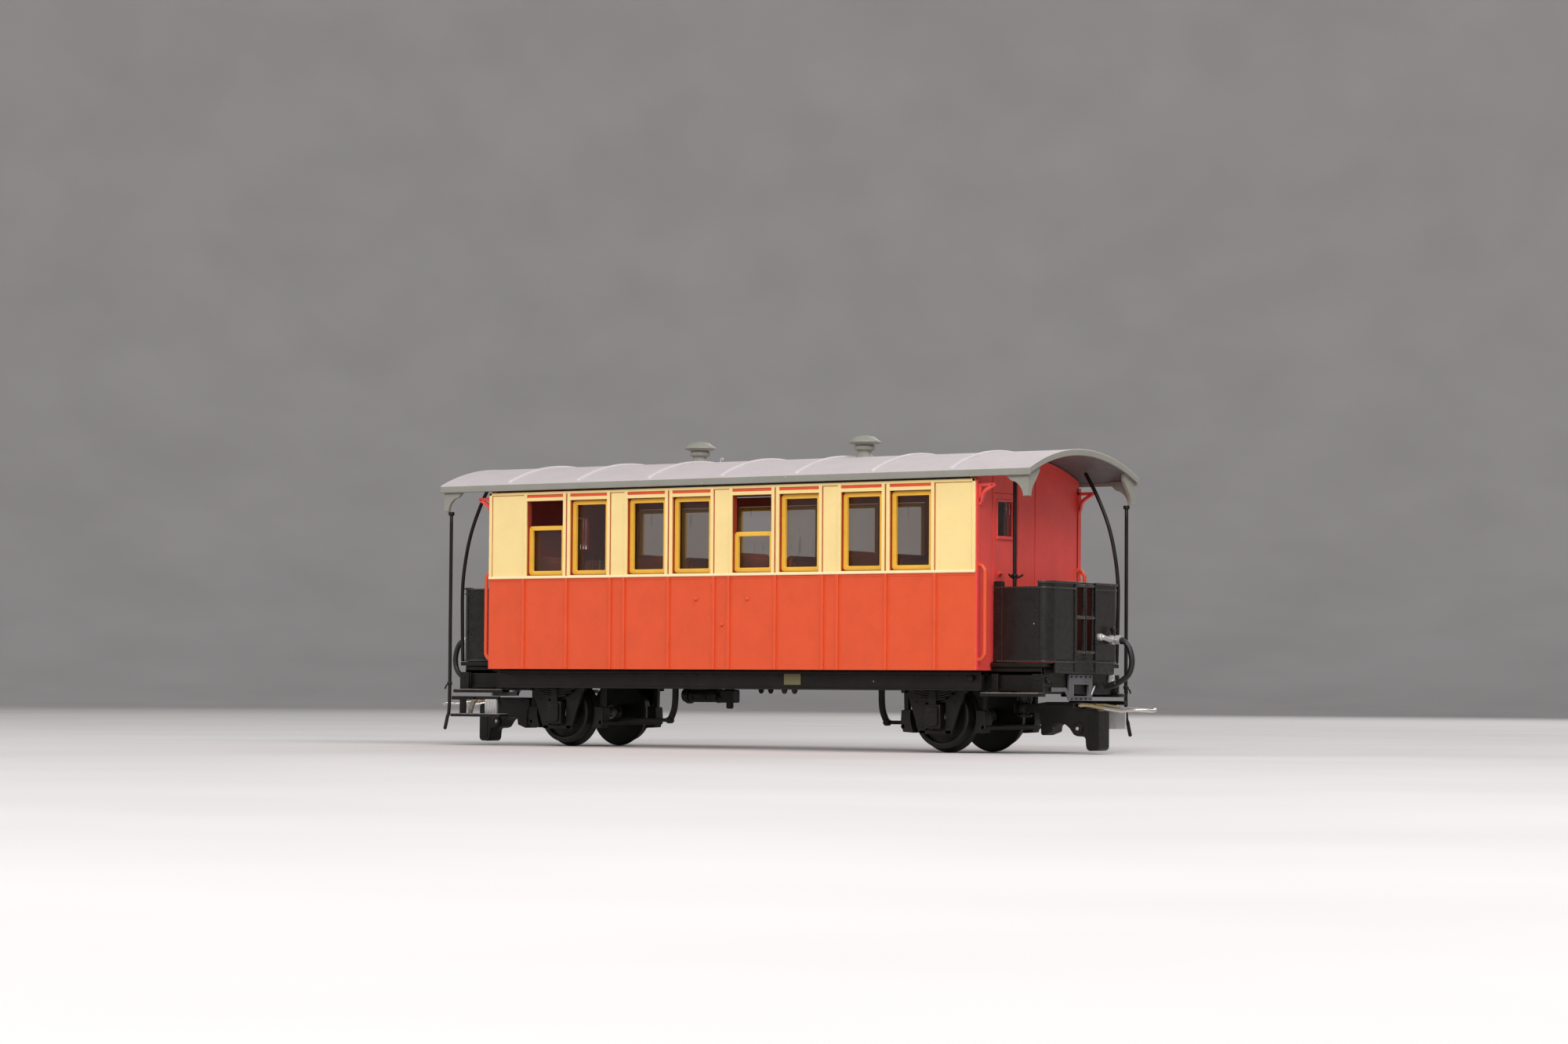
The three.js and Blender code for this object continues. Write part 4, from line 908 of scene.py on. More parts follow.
@drawn
def platform_frame(made):
    """Deck, skirts, beam and step hangers of the platform."""
    beam, front, skirt, top = (PLATFORM[key] for key in ("beam", "front", "skirt", "plank_top"))
    start, stop = BODY["end"] + 0.1, span("underframe")[1].x
    made.box(PLATFORM["inner"], front, -skirt, skirt, PAN["bottom"], PAN["top"])
    made.box(start, front, -skirt + 0.1, skirt - 0.1, PAN["top"] - LAP, top - 0.4, edge=0.03)
    width = (stop - start) / PLATFORM["planks"]
    gap = 0.03
    for n in range(PLATFORM["planks"]):
        x = start + n * width
        made.box(x + gap, x + width - gap, -skirt - 0.42, skirt + 0.42, top - 0.5, top)
    skirt_start = 38.6
    for side in SIDES:
        made.side_box(side, start, stop, skirt + 0.3, skirt + 0.52, top - 0.52, top - 0.04)
        made.side_box(side, skirt_start, front, skirt - 0.6, skirt, 8.0, 10.9, edge=0.08)
        made.side_box(side, skirt_start, front, skirt - 0.1, skirt + 0.14, 7.95, 8.3)
        hanger, hole = rectangle(45.2, 46.78, 7.8, 10.1), rectangle(beam, 46.38, 8.35, 9.55)
        made.side_slab(side, hanger, skirt - 0.2, skirt + 0.3, holes=[hole])
        made.side_box(side, beam - 0.1, front + 0.1, skirt - 0.2, skirt + 0.08, 8.2, 9.7, edge=0.03)
    made.box(beam, front, -8.4, 8.4, 7.6, 10.0, edge=0.1)
    for y in (-6.6, -4.9, 4.9, 6.6):
        made.rivet((front, y, 8.9), "+X", radius=0.2)
    high = PAN["bottom"] + LAP
    for y in (-5.2, 5.2):
        tapered = [(skirt_start, high), (skirt_start, 8.8), (beam, 8.0), (beam, high)]
        made.slab("XZ", tapered, y - 0.3, y + 0.3)


# ---------------------------------------------------------------- running gear
@drawn
def wheel(made, node):
    """Disc wheel with a flange, a tyre step and a raised hub."""
    low, high = span(node)
    side = 1 if low.y > 0 else -1
    x, radius = (low.x + high.x) / 2, (high.x - low.x) / 2
    back, front = min(abs(low.y), abs(high.y)), max(abs(low.y), abs(high.y))
    tread = radius - 0.55
    profile = [
        (0.75, back),
        (radius - 0.3, back),
        (radius - 0.1, back + 0.08),
        (radius, back + 0.25),
        (radius - 0.06, back + 0.42),
        (tread + 0.15, back + 0.6),
        (tread + 0.04, back + 0.72),
        (tread - 0.04, front - 0.1),
        (tread - 0.14, front),
        (tread - 0.62, front),
        (tread - 0.74, front - 0.08),
        (tread - 0.82, front - 0.5),
        (tread - 1.2, front - 0.62),
        (1.75, front - 0.62),
        (1.5, front - 0.5),
        (1.36, front - 0.06),
        (1.24, front),
        (0.75, front),
    ]
    made.lathe([(r, side * y) for r, y in profile], (x, 0, AXLE["z"]), "Y", sides=72)
    for n in range(4):
        turn = math.pi * (n / 2 + 0.25)
        spot = (x + 2.35 * math.cos(turn), side * (front - 0.62), AXLE["z"] + 2.35 * math.sin(turn))
        made.rivet(spot, facing(side), radius=0.3, height=0.16)


@drawn
def axle(made, node):
    low, high = span(node)
    x, tip = (low.x + high.x) / 2, high.y
    profile = [(0, -tip), (0.24, -tip + 0.04), (0.4, -tip + 0.28), (0.4, -7.85), (0.6, -7.8), (0.7, -7.7)]
    profile += [(0.7, -4.9), (0.95, -4.85), (0.95, -3.4), (0.7, -3.3)]
    profile += [(r, -y) for r, y in reversed(profile)]
    made.lathe(profile, (x, 0, AXLE["z"]), "Y", sides=32)


SHOE = {"gap": 0.3, "bottom": 2.5, "top": 5.5, "inner": 5.3, "outer": 7.0}
ROD = {"near": 2.65, "far": 3.15, "high": 3.45, "thick": 0.5}


@drawn
def brake_rigging(made):
    """Two shoe pairs hung from the frame, their beams, pull rods and a lever."""
    centre, middle = AXLE["x"], AXLE["z"]
    reach, top = middle + SHOE["gap"], PAN["bottom"] - 0.1
    low, high = (math.degrees(math.asin((SHOE[key] - middle) / reach)) for key in ("bottom", "top"))
    face = arc(0, middle, reach, low, high, 8)
    shoe = [*face, (reach + 1.35, 5.4), (reach + 1.45, 4.0), (reach + 1.1, 2.6)]
    hanger = [(reach + u, v) for u, v in ((0.5, 3.6), (1.2, 3.6), (1.35, top), (0.7, top))]
    inner, outer = SHOE["inner"], SHOE["outer"]
    for way in SIDES:
        for side in SIDES:
            made.side_slab(side, [(centre + way * u, v) for u, v in shoe], inner, outer, edge=0.08)
            line = [(centre + way * u, v) for u, v in hanger]
            made.side_slab(side, line, inner + 0.5, outer - 0.5, edge=0.08)
            spot = (centre + way * (reach + 0.85), side * (outer - 0.5), 4.3)
            made.rivet(spot, facing(side), radius=0.22)
        made.disc("Y", centre + way * (reach + 1.1), 3.3, 0.34, -outer, outer, sides=16)
    near, far, height, thick = ROD.values()
    made.box(centre - 6.2, centre + 6.2, near, far, height - thick, height, edge=0.1)
    made.box(15.2, centre - reach - 1.0, near, far, height, height + thick, edge=0.1)
    lever = swept(smooth([(15.9, 3.5, 0), (15.3, 4.4, 0), (14.85, 6.0, 0), (14.8, top, 0)]), 0.75)
    made.slab("XZ", lever, near - LAP, far + LAP, edge=0.1)
    made.disc("Y", 15.7, 3.7, 0.45, near - 0.2, far + 0.2, sides=16)


@drawn
def brake_cylinder(made):
    low, high = span("brake_cylinder")
    y, z, top = (low.y + high.y) / 2, 7.1, high.z
    profile = [(0, -16.9), (0.7, -16.88), (0.9, -16.75), (0.95, -16.6), (0.95, -16.25), (1.15, -16.2)]
    profile += [(1.15, -15.65), (0.95, -15.6), (0.95, -11.2), (1.05, -11.15), (1.05, -10.9), (0.3, -10.85)]
    profile += [(0.3, -10.5), (0, -10.5)]
    made.lathe(profile, (0, y, z), "X", sides=32)
    made.box(-15.4, -12.4, y - 0.6, y + 0.6, 7.4, top)
    for x in (-15.0, -12.8):
        made.box(x - 0.2, x + 0.2, y - 1.1, y + 1.1, 6.5, 7.5, edge=0.1)


@drawn
def distributor_valve(made):
    low, high = span("distributor_valve")
    made.box(low.x, high.x, 1.1, 2.9, 6.1, 7.9, edge=0.25, segments=3)
    made.box(-9.8, -8.7, 1.5, 2.5, 7.5, high.z)
    profile = [(0, low.z), (0.35, low.z), (0.5, low.z + 0.15), (0.5, 6.1)]
    profile += [(0.7, 6.15), (0.7, 6.4), (0, 6.4)]
    made.lathe(profile, (-9.2, 2.0, 0), sides=20)
    for x in (-10.0, -8.4):
        made.rivet((x, 1.1, 6.6), "-Y", radius=0.15)


@drawn
def ballast_plate(made):
    low, high = span("ballast_plate")
    made.box(low.x, high.x, low.y, high.y, low.z, high.z, edge=0.12)


# ---------------------------------------------------------------- platform, drawn at +X
RAILING = {"half": 9.1, "corner": 1.6, "thick": 0.34, "back": 46.0, "foot": 11.55, "panel_top": 11.95}
RAILING_RIVET_PITCH = 1.8


def railing_route(half, face, back, radius):
    """The bent sheet's line from its back edge round the near corner."""
    return [(back, -half), *arc(face - radius, -half + radius, radius, -90, 0, 8)]


@drawn
def end_railing(made):
    """Bent sheet with a rolled rim, either side of the gangway, above a riveted lower panel."""
    low, high = span("end_railing_right")
    face = high.x - 0.25
    half, radius, thick, back, foot, panel_top = RAILING.values()
    gate = span("gangway_gate_right")[1].y + 0.05
    top = high.z

    def half_sheet(side, grow, z0, z1, thickness, edge, tag=0):
        inset = grow - thickness
        outer = [*railing_route(half + grow, face + grow, back, radius + grow), (face + grow, -gate)]
        inner = [*railing_route(half + inset, face + inset, back, radius - 0.1), (face + inset, -gate)]
        outline = [(x, -side * y) for x, y in [*outer, *reversed(inner)]]
        made.slab("XY", outline, z0, z1, edge=edge, tag=tag)

    for side in SIDES:
        half_sheet(side, 0, foot, top, thick, 0.05)
        # the rolled rim, the band under it and the foot band take the lighter black: painted highlight
        half_sheet(side, 0.22, top - 0.28, top, 0.6, 0.09, 1)
        half_sheet(side, 0.16, top - 0.95, top - 0.75, 0.42, 0.08, 1)
        half_sheet(side, 0.1, foot, foot + 0.25, 0.4, EDGE, 1)
        y0, y1 = sorted((side * gate, side * (gate + 0.42)))
        made.box(face - 0.4, face + 0.14, y0, y1, 10.4, top - 0.1, edge=0.07)
    made.box(face - 0.36, face, -half + radius, half - radius, low.z, panel_top)
    made.box(face - 0.2, face + 0.12, -gate - 0.4, gate + 0.4, panel_top - 0.35, panel_top)
    for n in range(-4, 5):
        made.rivet((face, n * RAILING_RIVET_PITCH, 10.75), "+X", radius=0.17)


GATE_SLOTS = {"bottom": 13.15, "rail_bottom": 17.1, "rail_top": 17.55}


@drawn
def gangway_gate(made):
    """Two leaves, each a frame with two tall slots above a riveted foot."""
    low, high = span("gangway_gate_right")
    top = high.z
    bottom, rail_bottom, rail_top = GATE_SLOTS.values()
    rails = ((bottom - 0.4, bottom - LAP), (rail_bottom + LAP, rail_top - LAP), (top - 0.6, top - 0.25))
    for side in SIDES:
        y0, y1 = outward(side, 0.06, high.y)
        s0, s1 = outward(side, 0.4, high.y - 0.42)
        holes = [rectangle(s0, s1, bottom, rail_bottom), rectangle(s0, s1, rail_top, top - 0.65)]
        made.slab("YZ", rectangle(y0, y1, low.z, top), low.x, high.x, holes=holes, edge=0.05)
        for z0, z1 in rails:
            # the rails take the lighter black: painted highlight
            made.box(high.x - LAP, high.x + 0.16, y0 + 0.04, y1 - 0.04, z0, z1, tag=1)
        made.box(high.x - LAP, high.x + 0.1, *outward(side, 0.07, 0.34), low.z + 0.1, top, edge=0.04)
        for y in (s0 + 0.15, s1 - 0.15):
            made.rivet((high.x, y, 12.35), "+X", radius=0.13)


@drawn
def side_panel(made, node, side):
    """Sheet beside the platform with a rolled top edge, a foot angle and a post at the coach."""
    low, high = span(node)
    outer = max(abs(low.y), abs(high.y))
    top = high.z if side > 0 else high.z - 0.7
    made.side_box(side, low.x, high.x, outer - 0.34, outer, low.z, top, edge=0.05)
    # the rolled top edge and the foot angle take the lighter black: painted highlight
    made.side_box(side, low.x, high.x, outer - 0.45, outer + 0.1, top - 0.24, top, edge=0.09, tag=1)
    foot = low.z + 0.28
    made.side_box(side, low.x + 0.5, high.x, outer - 0.1, outer + 0.16, low.z, foot, tag=1)
    if side < 0:
        made.side_box(side, low.x, low.x + 1.3, outer - 0.62, outer + 0.04, low.z, high.z, edge=0.12)
    for n in range(4):
        made.rivet((high.x - 0.5, side * outer, low.z + 1.2 + n * 2.6), facing(side), radius=0.12)


ROD_RADIUS = 0.25


@drawn
def corner_pole(made):
    """Thin rod from the gusset to the lower step, with a clip just above the step."""
    low, high = span("corner_pole_right")
    x, y = low.x + ROD_RADIUS, low.y + ROD_RADIUS
    route = [(x, y, high.z), (x, y, 18), (x, y, 6), (x + 0.2, y + 0.2, 3.8), (x + 0.45, y + 0.4, low.z)]
    made.tube(smooth(route, 8), ROD_RADIUS - 0.01)
    made.disc("Z", x, y, 0.42, high.z - 0.5, high.z, sides=18, edge=0.08)
    for way in SIDES:
        clip = [(x, y, 8.6), (x + 0.35, y + way * 0.3, 8.2), (x + 0.45, y + way * 0.45, 7.7)]
        made.tube(clip, 0.11, sides=8)
    made.disc("Z", x, y, 0.36, 8.3, 8.7, sides=16)


@drawn
def roof_stay(made):
    low, high = span("roof_stay_right")
    y = (low.y + high.y) / 2 - 0.05
    route = [(46.6, y + 0.1, 11.55), (46.75, y + 0.1, 17), (46.75, y + 0.1, 22), (46.25, y + 0.05, 26)]
    route += [(45.3, y, 29.7), (43.7, y, 33.3), (41.9, y, high.z - 0.15)]
    made.tube(smooth(route, 7), ROD_RADIUS)


@drawn
def brake_column(made):
    """Upright shaft with a small hand wheel, a foot bearing and a collar at the roof."""
    low, high = span("brake_column_right")
    x, y, wheel_z = 41.9, -8.3, 22.1
    made.tube([(x, y, low.z), (x, y, wheel_z), (x, y, high.z)], ROD_RADIUS)
    for z in (11.56, 22.35, high.z - 0.35):
        made.disc("Z", x, y, 0.42, z, z + 0.3, sides=20)
    for n in range(3):
        turn = n * 2 * math.pi / 3 + 0.3
        along = Vector((math.cos(turn), math.sin(turn), 0))
        start = Vector((x, y, wheel_z))
        bend, tip = along * 0.7 + Vector((0, 0, 0.25)), along * 1.1 + Vector((0, 0, 0.55))
        made.tube(smooth([start, start + bend, start + tip]), 0.13, sides=10)


@drawn
def grab_rail(made, node):
    """Bent handrail that stands off the end wall."""
    low, high = span(node)
    x0, y = BODY["end"] - 0.1, (low.y + high.y) / 2
    top, bottom = 23.75, 11.85
    bend = [(0, 0), (0.55, 0.04), (1.0, 0.55), (1.1, 1.2)]
    route = [(x0 + out, y, top - down) for out, down in bend]
    route += [(x0 + 1.1, y, (top + bottom) / 2)]
    route += [(x0 + out, y, bottom + up) for out, up in reversed(bend)]
    made.tube(smooth(route, 6), ROD_RADIUS)
    for z in (top, bottom):
        made.disc("X", y, z, 0.42, x0, x0 + 0.25, sides=20, edge=0.05)


def tread(made, x0, x1, y0, y1, top, thick):
    """A step board with a raised nosing and ribs along it."""
    made.box(x0, x1, y0, y1, top - thick, top - 0.06, edge=0.07)
    ribs = max(2, round((y1 - y0) / 0.38))
    for n in range(ribs):
        y = y0 + 0.1 + (y1 - y0 - 0.2) * n / (ribs - 1)
        # the ribs take the pale grey: wear and painted highlight on the tread tops
        made.box(x0 + 0.12, x1 - 0.12, y - 0.09, y + 0.09, top - 0.14, top, edge=0.03, tag=1)


UPPER_STEP = {"inner": 9.35, "outer": 11.0, "top": 7.75}
LOWER_STEP = {"inner": 11.3, "end": 45.7, "top": 4.4, "rail": 11.05, "rail_outer": 11.6, "hang": 11.2}


@drawn
def upper_step(made, node, side):
    """Step board on two hangers."""
    low, high = span(node)
    inner = UPPER_STEP["inner"]
    tread(made, low.x, high.x, *outward(side, inner, UPPER_STEP["outer"]), UPPER_STEP["top"], 0.5)
    for x0, x1 in ((45.3, 46.9), (39.4, 40.4)):
        made.side_box(side, x0, x1, inner, inner + 0.45, UPPER_STEP["top"] - 0.15, 10.1, edge=0.07)
        made.rivet(((x0 + x1) / 2, side * (inner + 0.45), 9.4), facing(side), radius=0.18)


@drawn
def lower_step(made):
    """Step board hung from a rail by a curved strut and a post."""
    low, high = span("lower_step_right")
    inner, end, top, rail, outer, hang = LOWER_STEP.values()
    tread(made, low.x, end, inner, high.y, top, 0.45)
    made.box(38.6, 46.9, rail, outer, 6.25, 6.75, edge=0.07)
    strut = smooth([(42.5, 6.55, 0), (43.0, 6.1, 0), (43.45, 5.3, 0), (43.7, top - 0.1, 0)])
    # the strut takes the same pale grey
    made.slab("XZ", swept(strut, 0.6), hang, outer, edge=0.07, tag=1)
    made.box(44.5, 45.5, hang, outer - LAP, top - 0.1, 6.4, edge=0.07)


@drawn
def riser_plate(made):
    """Ribbed plate between the two steps."""
    hang, outer = LOWER_STEP["hang"], LOWER_STEP["rail_outer"]
    made.slab("XZ", rounded(38.9, 40.95, 4.36, 6.35, 0.12), hang, outer + 0.02, edge=0.05)
    for n in range(4):
        x = 39.15 + n * 0.5
        made.box(x, x + 0.22, outer - LAP, outer + 0.14, 4.55, 6.15, edge=0.05)


@drawn
def step_plate(made):
    """Pale plate hung from the inner edge of the lower step, with a turned foot."""
    rail = LOWER_STEP["rail"]
    made.slab("XZ", rounded(44.35, 47.1, 3.15, 5.65, 0.2), rail, rail + 0.23)
    made.box(44.6, 47.0, rail - LAP, LOWER_STEP["rail_outer"], 3.12, 3.3, edge=0.05)


COCK = {"y": 6.0, "z": 14.6, "pipe": 0.3}
HOSE = {"radius": 0.37, "ferrule": 0.47}


@drawn
def air_cock(made):
    """Cast cock: wall boss, pipe, body with flats, nut, and a lever handle."""
    low, high = span("air_cock_right")
    x, y, z = low.x, COCK["y"], COCK["z"]
    made.disc("X", 3.4, z + 0.3, 0.46, x - 0.3, x + 0.5, sides=18, edge=0.1)
    pipe = [(x + 0.45, 3.3, z + 0.35), (x + 0.6, 4.2, z + 0.15), (x + 0.6, y - 0.6, z)]
    made.tube(smooth(pipe), COCK["pipe"] + 0.03)
    profile = [(0, 0.05), (0.5, 0.05), (0.62, 0.2), (0.62, 0.75), (0.45, 0.85), (0.45, 1.05)]
    profile += [(0.58, 1.12), (0.58, 1.6), (0.42, 1.72), (0, 1.72)]
    made.lathe(profile, (x, y, z), "X", sides=24)
    made.slab("YZ", circle(y, z, 0.66, 6), x + 1.05, x + 1.4)
    stub = [(x + 0.6, y - 0.4, z), (x + 0.6, y + 0.6, z - 0.05), (x + 0.55, y + 1.3, z - 0.25)]
    made.tube(smooth(stub), COCK["pipe"])
    handle = rounded(x + 0.42, x + 0.84, z + 0.2, high.z, 0.18)
    made.slab("XZ", handle, y - 0.18, y + 0.2, edge=0.08, tag=1)
    made.disc("X", y, high.z - 0.35, 0.3, x + 0.3, x + 0.95, sides=16, edge=0.08, tag=1)


@drawn
def brake_hose(made):
    """Stiff moulded hose from the cock round to the headstock, with a ferrule at each end."""
    x, y = span("air_cock_right")[0].x, COCK["y"]
    places = [(1.6, COCK["z"]), (2.6, 14.1), (3.2, 12.95), (3.38, 11.5)]
    places += [(2.85, 10.1), (1.3, 9.05), (-0.55, 8.5)]
    route = smooth([(x + out, y, z) for out, z in places], 8)
    made.tube(route, HOSE["radius"], sides=18)
    made.tube(route[1:5], HOSE["ferrule"], sides=18)
    made.tube(route[-9:-2], HOSE["ferrule"] - 0.01, sides=18)


PLATE = {"back": 46.5, "face": 46.8, "hole": 1.95, "hole_low": 7.35, "hole_high": 8.85}


@drawn
def coupling_plate(made):
    """Pierced plate with rows of rivets."""
    x0, x1, half = PLATE["back"], PLATE["face"], 2.95
    bottom, top = 6.8, span("coupling_plate_right")[1].z
    outline = rounded(-half, half, bottom, top, 0.12, 3)

    def around_hole(grow):
        """The rectangle of the hole, larger all round by so much."""
        hole, low, high = PLATE["hole"] + grow, PLATE["hole_low"] - grow, PLATE["hole_high"] + grow
        return rectangle(-hole, hole, low, high)

    made.slab("YZ", outline, x0, x1, holes=[around_hole(0)], edge=0.05)
    made.slab("YZ", around_hole(0.2), x1 - LAP, x1 + 0.1, holes=[around_hole(-0.02)], edge=0.04)
    made.box(x0, x1 - 0.02, -1.96, 1.96, 9.05, 9.4, edge=0.04)
    stay = swept([(-7.1, 8.15, 0), (-3.7, 8.15, 0), (-3.2, 7.75, 0), (-2.55, 6.95, 0)], 0.56)
    made.slab("YZ", stay, x0, x1 - 0.05)


@drawn
def plate_rivets(made):
    top = span("coupling_plate_right")[1].z
    for y in (-2.4, -1.2, 0, 1.2, 2.4):
        for z in (7.0, top - 0.3):
            made.rivet((PLATE["face"], y, z), "+X", radius=0.15)


@drawn
def end_fittings(made):
    """Castings beside the coupling: a bracket with an eye on each side, the far one pale, and a wire."""
    front = PLATE["face"] - 0.1
    for side in SIDES:
        tag = int(side < 0)
        made.side_box(side, front - 0.4, front, 7.6, 9.0, 8.5, 10.1, edge=0.12, tag=tag)
        made.disc("X", side * 8.3, 9.3, 0.42, front - 0.1, front + 0.25, sides=16, edge=0.12, tag=tag)
        for y, z in ((7.95, 8.85), (8.7, 9.8)):
            made.rivet((front, side * y, z), "+X", radius=0.18, tag=tag)
    made.tube([(46.95, 3.25, 8.65), (46.98, 2.75, 8.1), (46.95, 2.35, 7.5)], 0.11, sides=10)


# ---------------------------------------------------------------- coupler, drawn at +X
COUPLER_EYE = (47.1, 3.24)
HOOP_PIVOT = (47.6, 6.15)
COUPLER_PIVOT_X = 38.5
COUPLER_HALF = 1.35  # half the width of the coupler's head and shank


@drawn
def coupler_body(made):
    """Drop-arm coupler head on a flat shank, with a rear prong and a round eye."""
    half = COUPLER_HALF
    side = [(41.2, 6.4), (41.2, 5.45), (41.55, 4.7), (41.66, 3.6), (41.7, 2.5), (41.95, 2.32), (43.3, 2.8)]
    side += [(43.4, 3.5), (43.75, 3.84), (44.4, 3.92), (45.1, 3.8)]
    side += [(45.55, 3.55), (45.95, 3.2), (46.25, 2.78), (46.5, 2.45), (47.0, 2.28), (48.0, 2.22)]
    side += [(48.2, 2.0), (48.3, 1.0), *arc(48.9, 1.02, 0.58, 180, 270, 5)[1:]]
    side += [*arc(49.65, 1.02, 0.55, 270, 360, 5), (50.2, 5.2), *arc(49.75, 5.25, 0.45, 0, 90, 4)[1:]]
    side += [(48.5, 5.75), (48.35, 5.85), (46.6, 5.85), (46.6, 6.6), (42.6, 6.6)]
    made.slab("XZ", side, -half, half, edge=0.12, segments=3)
    made.box(46.5, 48.25, -0.92, 0.92, 5.7, 6.45, edge=0.12)
    tail = [(43.2, -1.1), (43.2, 1.1), *arc(COUPLER_PIVOT_X, 0, 1.4, 52, 308, 20)]
    made.slab("XY", tail, 5.2, 6.38, edge=0.1)
    inner = half - LAP
    for way in SIDES:
        ring, hole = circle(*COUPLER_EYE, 0.78, 28), circle(*COUPLER_EYE, 0.3, 20)
        made.side_slab(way, ring, inner, half + 0.23, holes=[hole], edge=0.07)
        made.side_box(way, 42.5, 46.2, inner, half + 0.07, 5.9, 6.3, edge=0.05)
        made.side_box(way, 48.7, 49.9, inner, half + 0.05, 1.0, 5.0, edge=0.08)
    made.disc("Y", *COUPLER_EYE, 0.26, -half - 0.15, half + 0.15, sides=16, tag=1)


@drawn
def coupler_pin(made):
    low, high = span("coupler_pin_right")
    x = (low.x + high.x) / 2
    profile = [(0, low.z), (0.7, low.z), (0.95, low.z + 0.1), (1.0, low.z + 0.22), (0.95, low.z + 0.38)]
    profile += [(0.5, low.z + 0.4), (0.5, 6.7), (1.0, 6.72), (1.0, high.z), (0, high.z)]
    made.lathe(profile, (x, 0, 0), sides=28)
    made.box(x - 0.75, x + 0.75, -0.09, 0.09, low.z, low.z + 0.08, edge=0.02)


@drawn
def coupler_hoop(made):
    """Wire loop with round front corners, a little wavy, hinged on a cross pin."""
    high = span("coupler_hoop_right")[1]
    half, front = high.y, high.x
    x, z = HOOP_PIVOT
    made.disc("Y", x, z, 0.25, -half, half, sides=20, edge=0.05, tag=2)
    arm_y, tip = half - 0.22, front - 0.22
    near = [(x, -arm_y, z), (x + 1.2, -arm_y, z + 0.08), (x + 2.6, -arm_y, z - 0.1)]
    near += [(x + 4.2, -arm_y, z - 0.38), (x + 6.0, -arm_y, z - 0.6), (x + 7.6, -arm_y, z - 0.5)]
    near += [(tip - 0.9, -arm_y + 0.35, z - 0.5), (tip - 0.12, -arm_y + 1.3, z - 0.56)]
    far = [(px, -py, z + (pz - z) * 0.8 - 0.02) for px, py, pz in reversed(near)]
    route = smooth([*near, (tip, 0, z - 0.58), *far], 6)
    bend = x + 3.8
    made.tube(route, 0.235, sides=16, tag=lambda f: int(f.calc_center_median().x > bend))
    for side in SIDES:
        made.disc("Y", x, z, 0.4, *outward(side, half - 0.42, half), sides=20, edge=0.08, tag=2)


# ---------------------------------------------------------------- assembly
for side, name in ((-1, "near"), (1, "far")):
    shell = ["body_shell"]
    piece(f"upper_wall_{name}", upper_wall(side), [CREAM, DARK_RED, RED], nodes=shell)
    piece(f"lower_wall_{name}", lower_wall(side), [RED], nodes=shell)
    piece(f"waist_rail_{name}", waist_rail(side), [WAIST_HIGHLIGHT_CREAM], nodes=shell)
    piece(f"sash_frames_{name}", sash_frames(side), [OCHRE], nodes=[f"sashes_{name}"])
    piece(f"window_panes_{name}", window_panes(side), [GLASS], nodes=[f"panes_{name}"])

piece("saloon_benches", saloon(), [BROWN], nodes=["interior"])
greys = [ROOF_GREY, GREY_TRIM_AND_SHADE, SEAM_HIGHLIGHT_GREY, ROOF_UNDERSIDE_SHADE]
piece("roof_cover", roof_cover(), greys, nodes=["roof"])
piece("roof_gussets", gussets(), [GREY_TRIM_AND_SHADE], nodes=["roof"])
piece("underframe_frame", underframe(), [BLACK], nodes=["underframe"])
piece("label_plates", label_plates(), [OLIVE], nodes=["underframe"])
piece("cylinder", brake_cylinder(), [RUNNING_BLACK], nodes=["brake_cylinder"])
piece("valve", distributor_valve(), [RUNNING_BLACK], nodes=["distributor_valve"])
piece("ballast", ballast_plate(), [STEEL], nodes=["ballast_plate"])


def running_gear(end):
    """The wheelset and brakes. Wheels and axle are drawn where their CAD nodes are."""
    wheelset = f"wheelset_{end}"
    for side in ("near", "far"):
        node = f"wheel_{side}_{end}"
        piece(f"disc_wheel_{side}_{end}", wheel(node), [RUNNING_BLACK], wheelset, [node])
    piece(f"axle_bar_{end}", axle(f"axle_{end}"), [STEEL], wheelset, [f"axle_{end}"])
    node = f"brake_rigging_{end}"
    piece(f"brake_shoes_{end}", brake_rigging(), [RUNNING_BLACK], nodes=[node], end=end)
    piece(
        f"vent_{end}",
        ventilator(f"roof_vent_{end}"),
        [GREY_TRIM_AND_SHADE],
        nodes=[f"roof_vent_{end}"],
    )


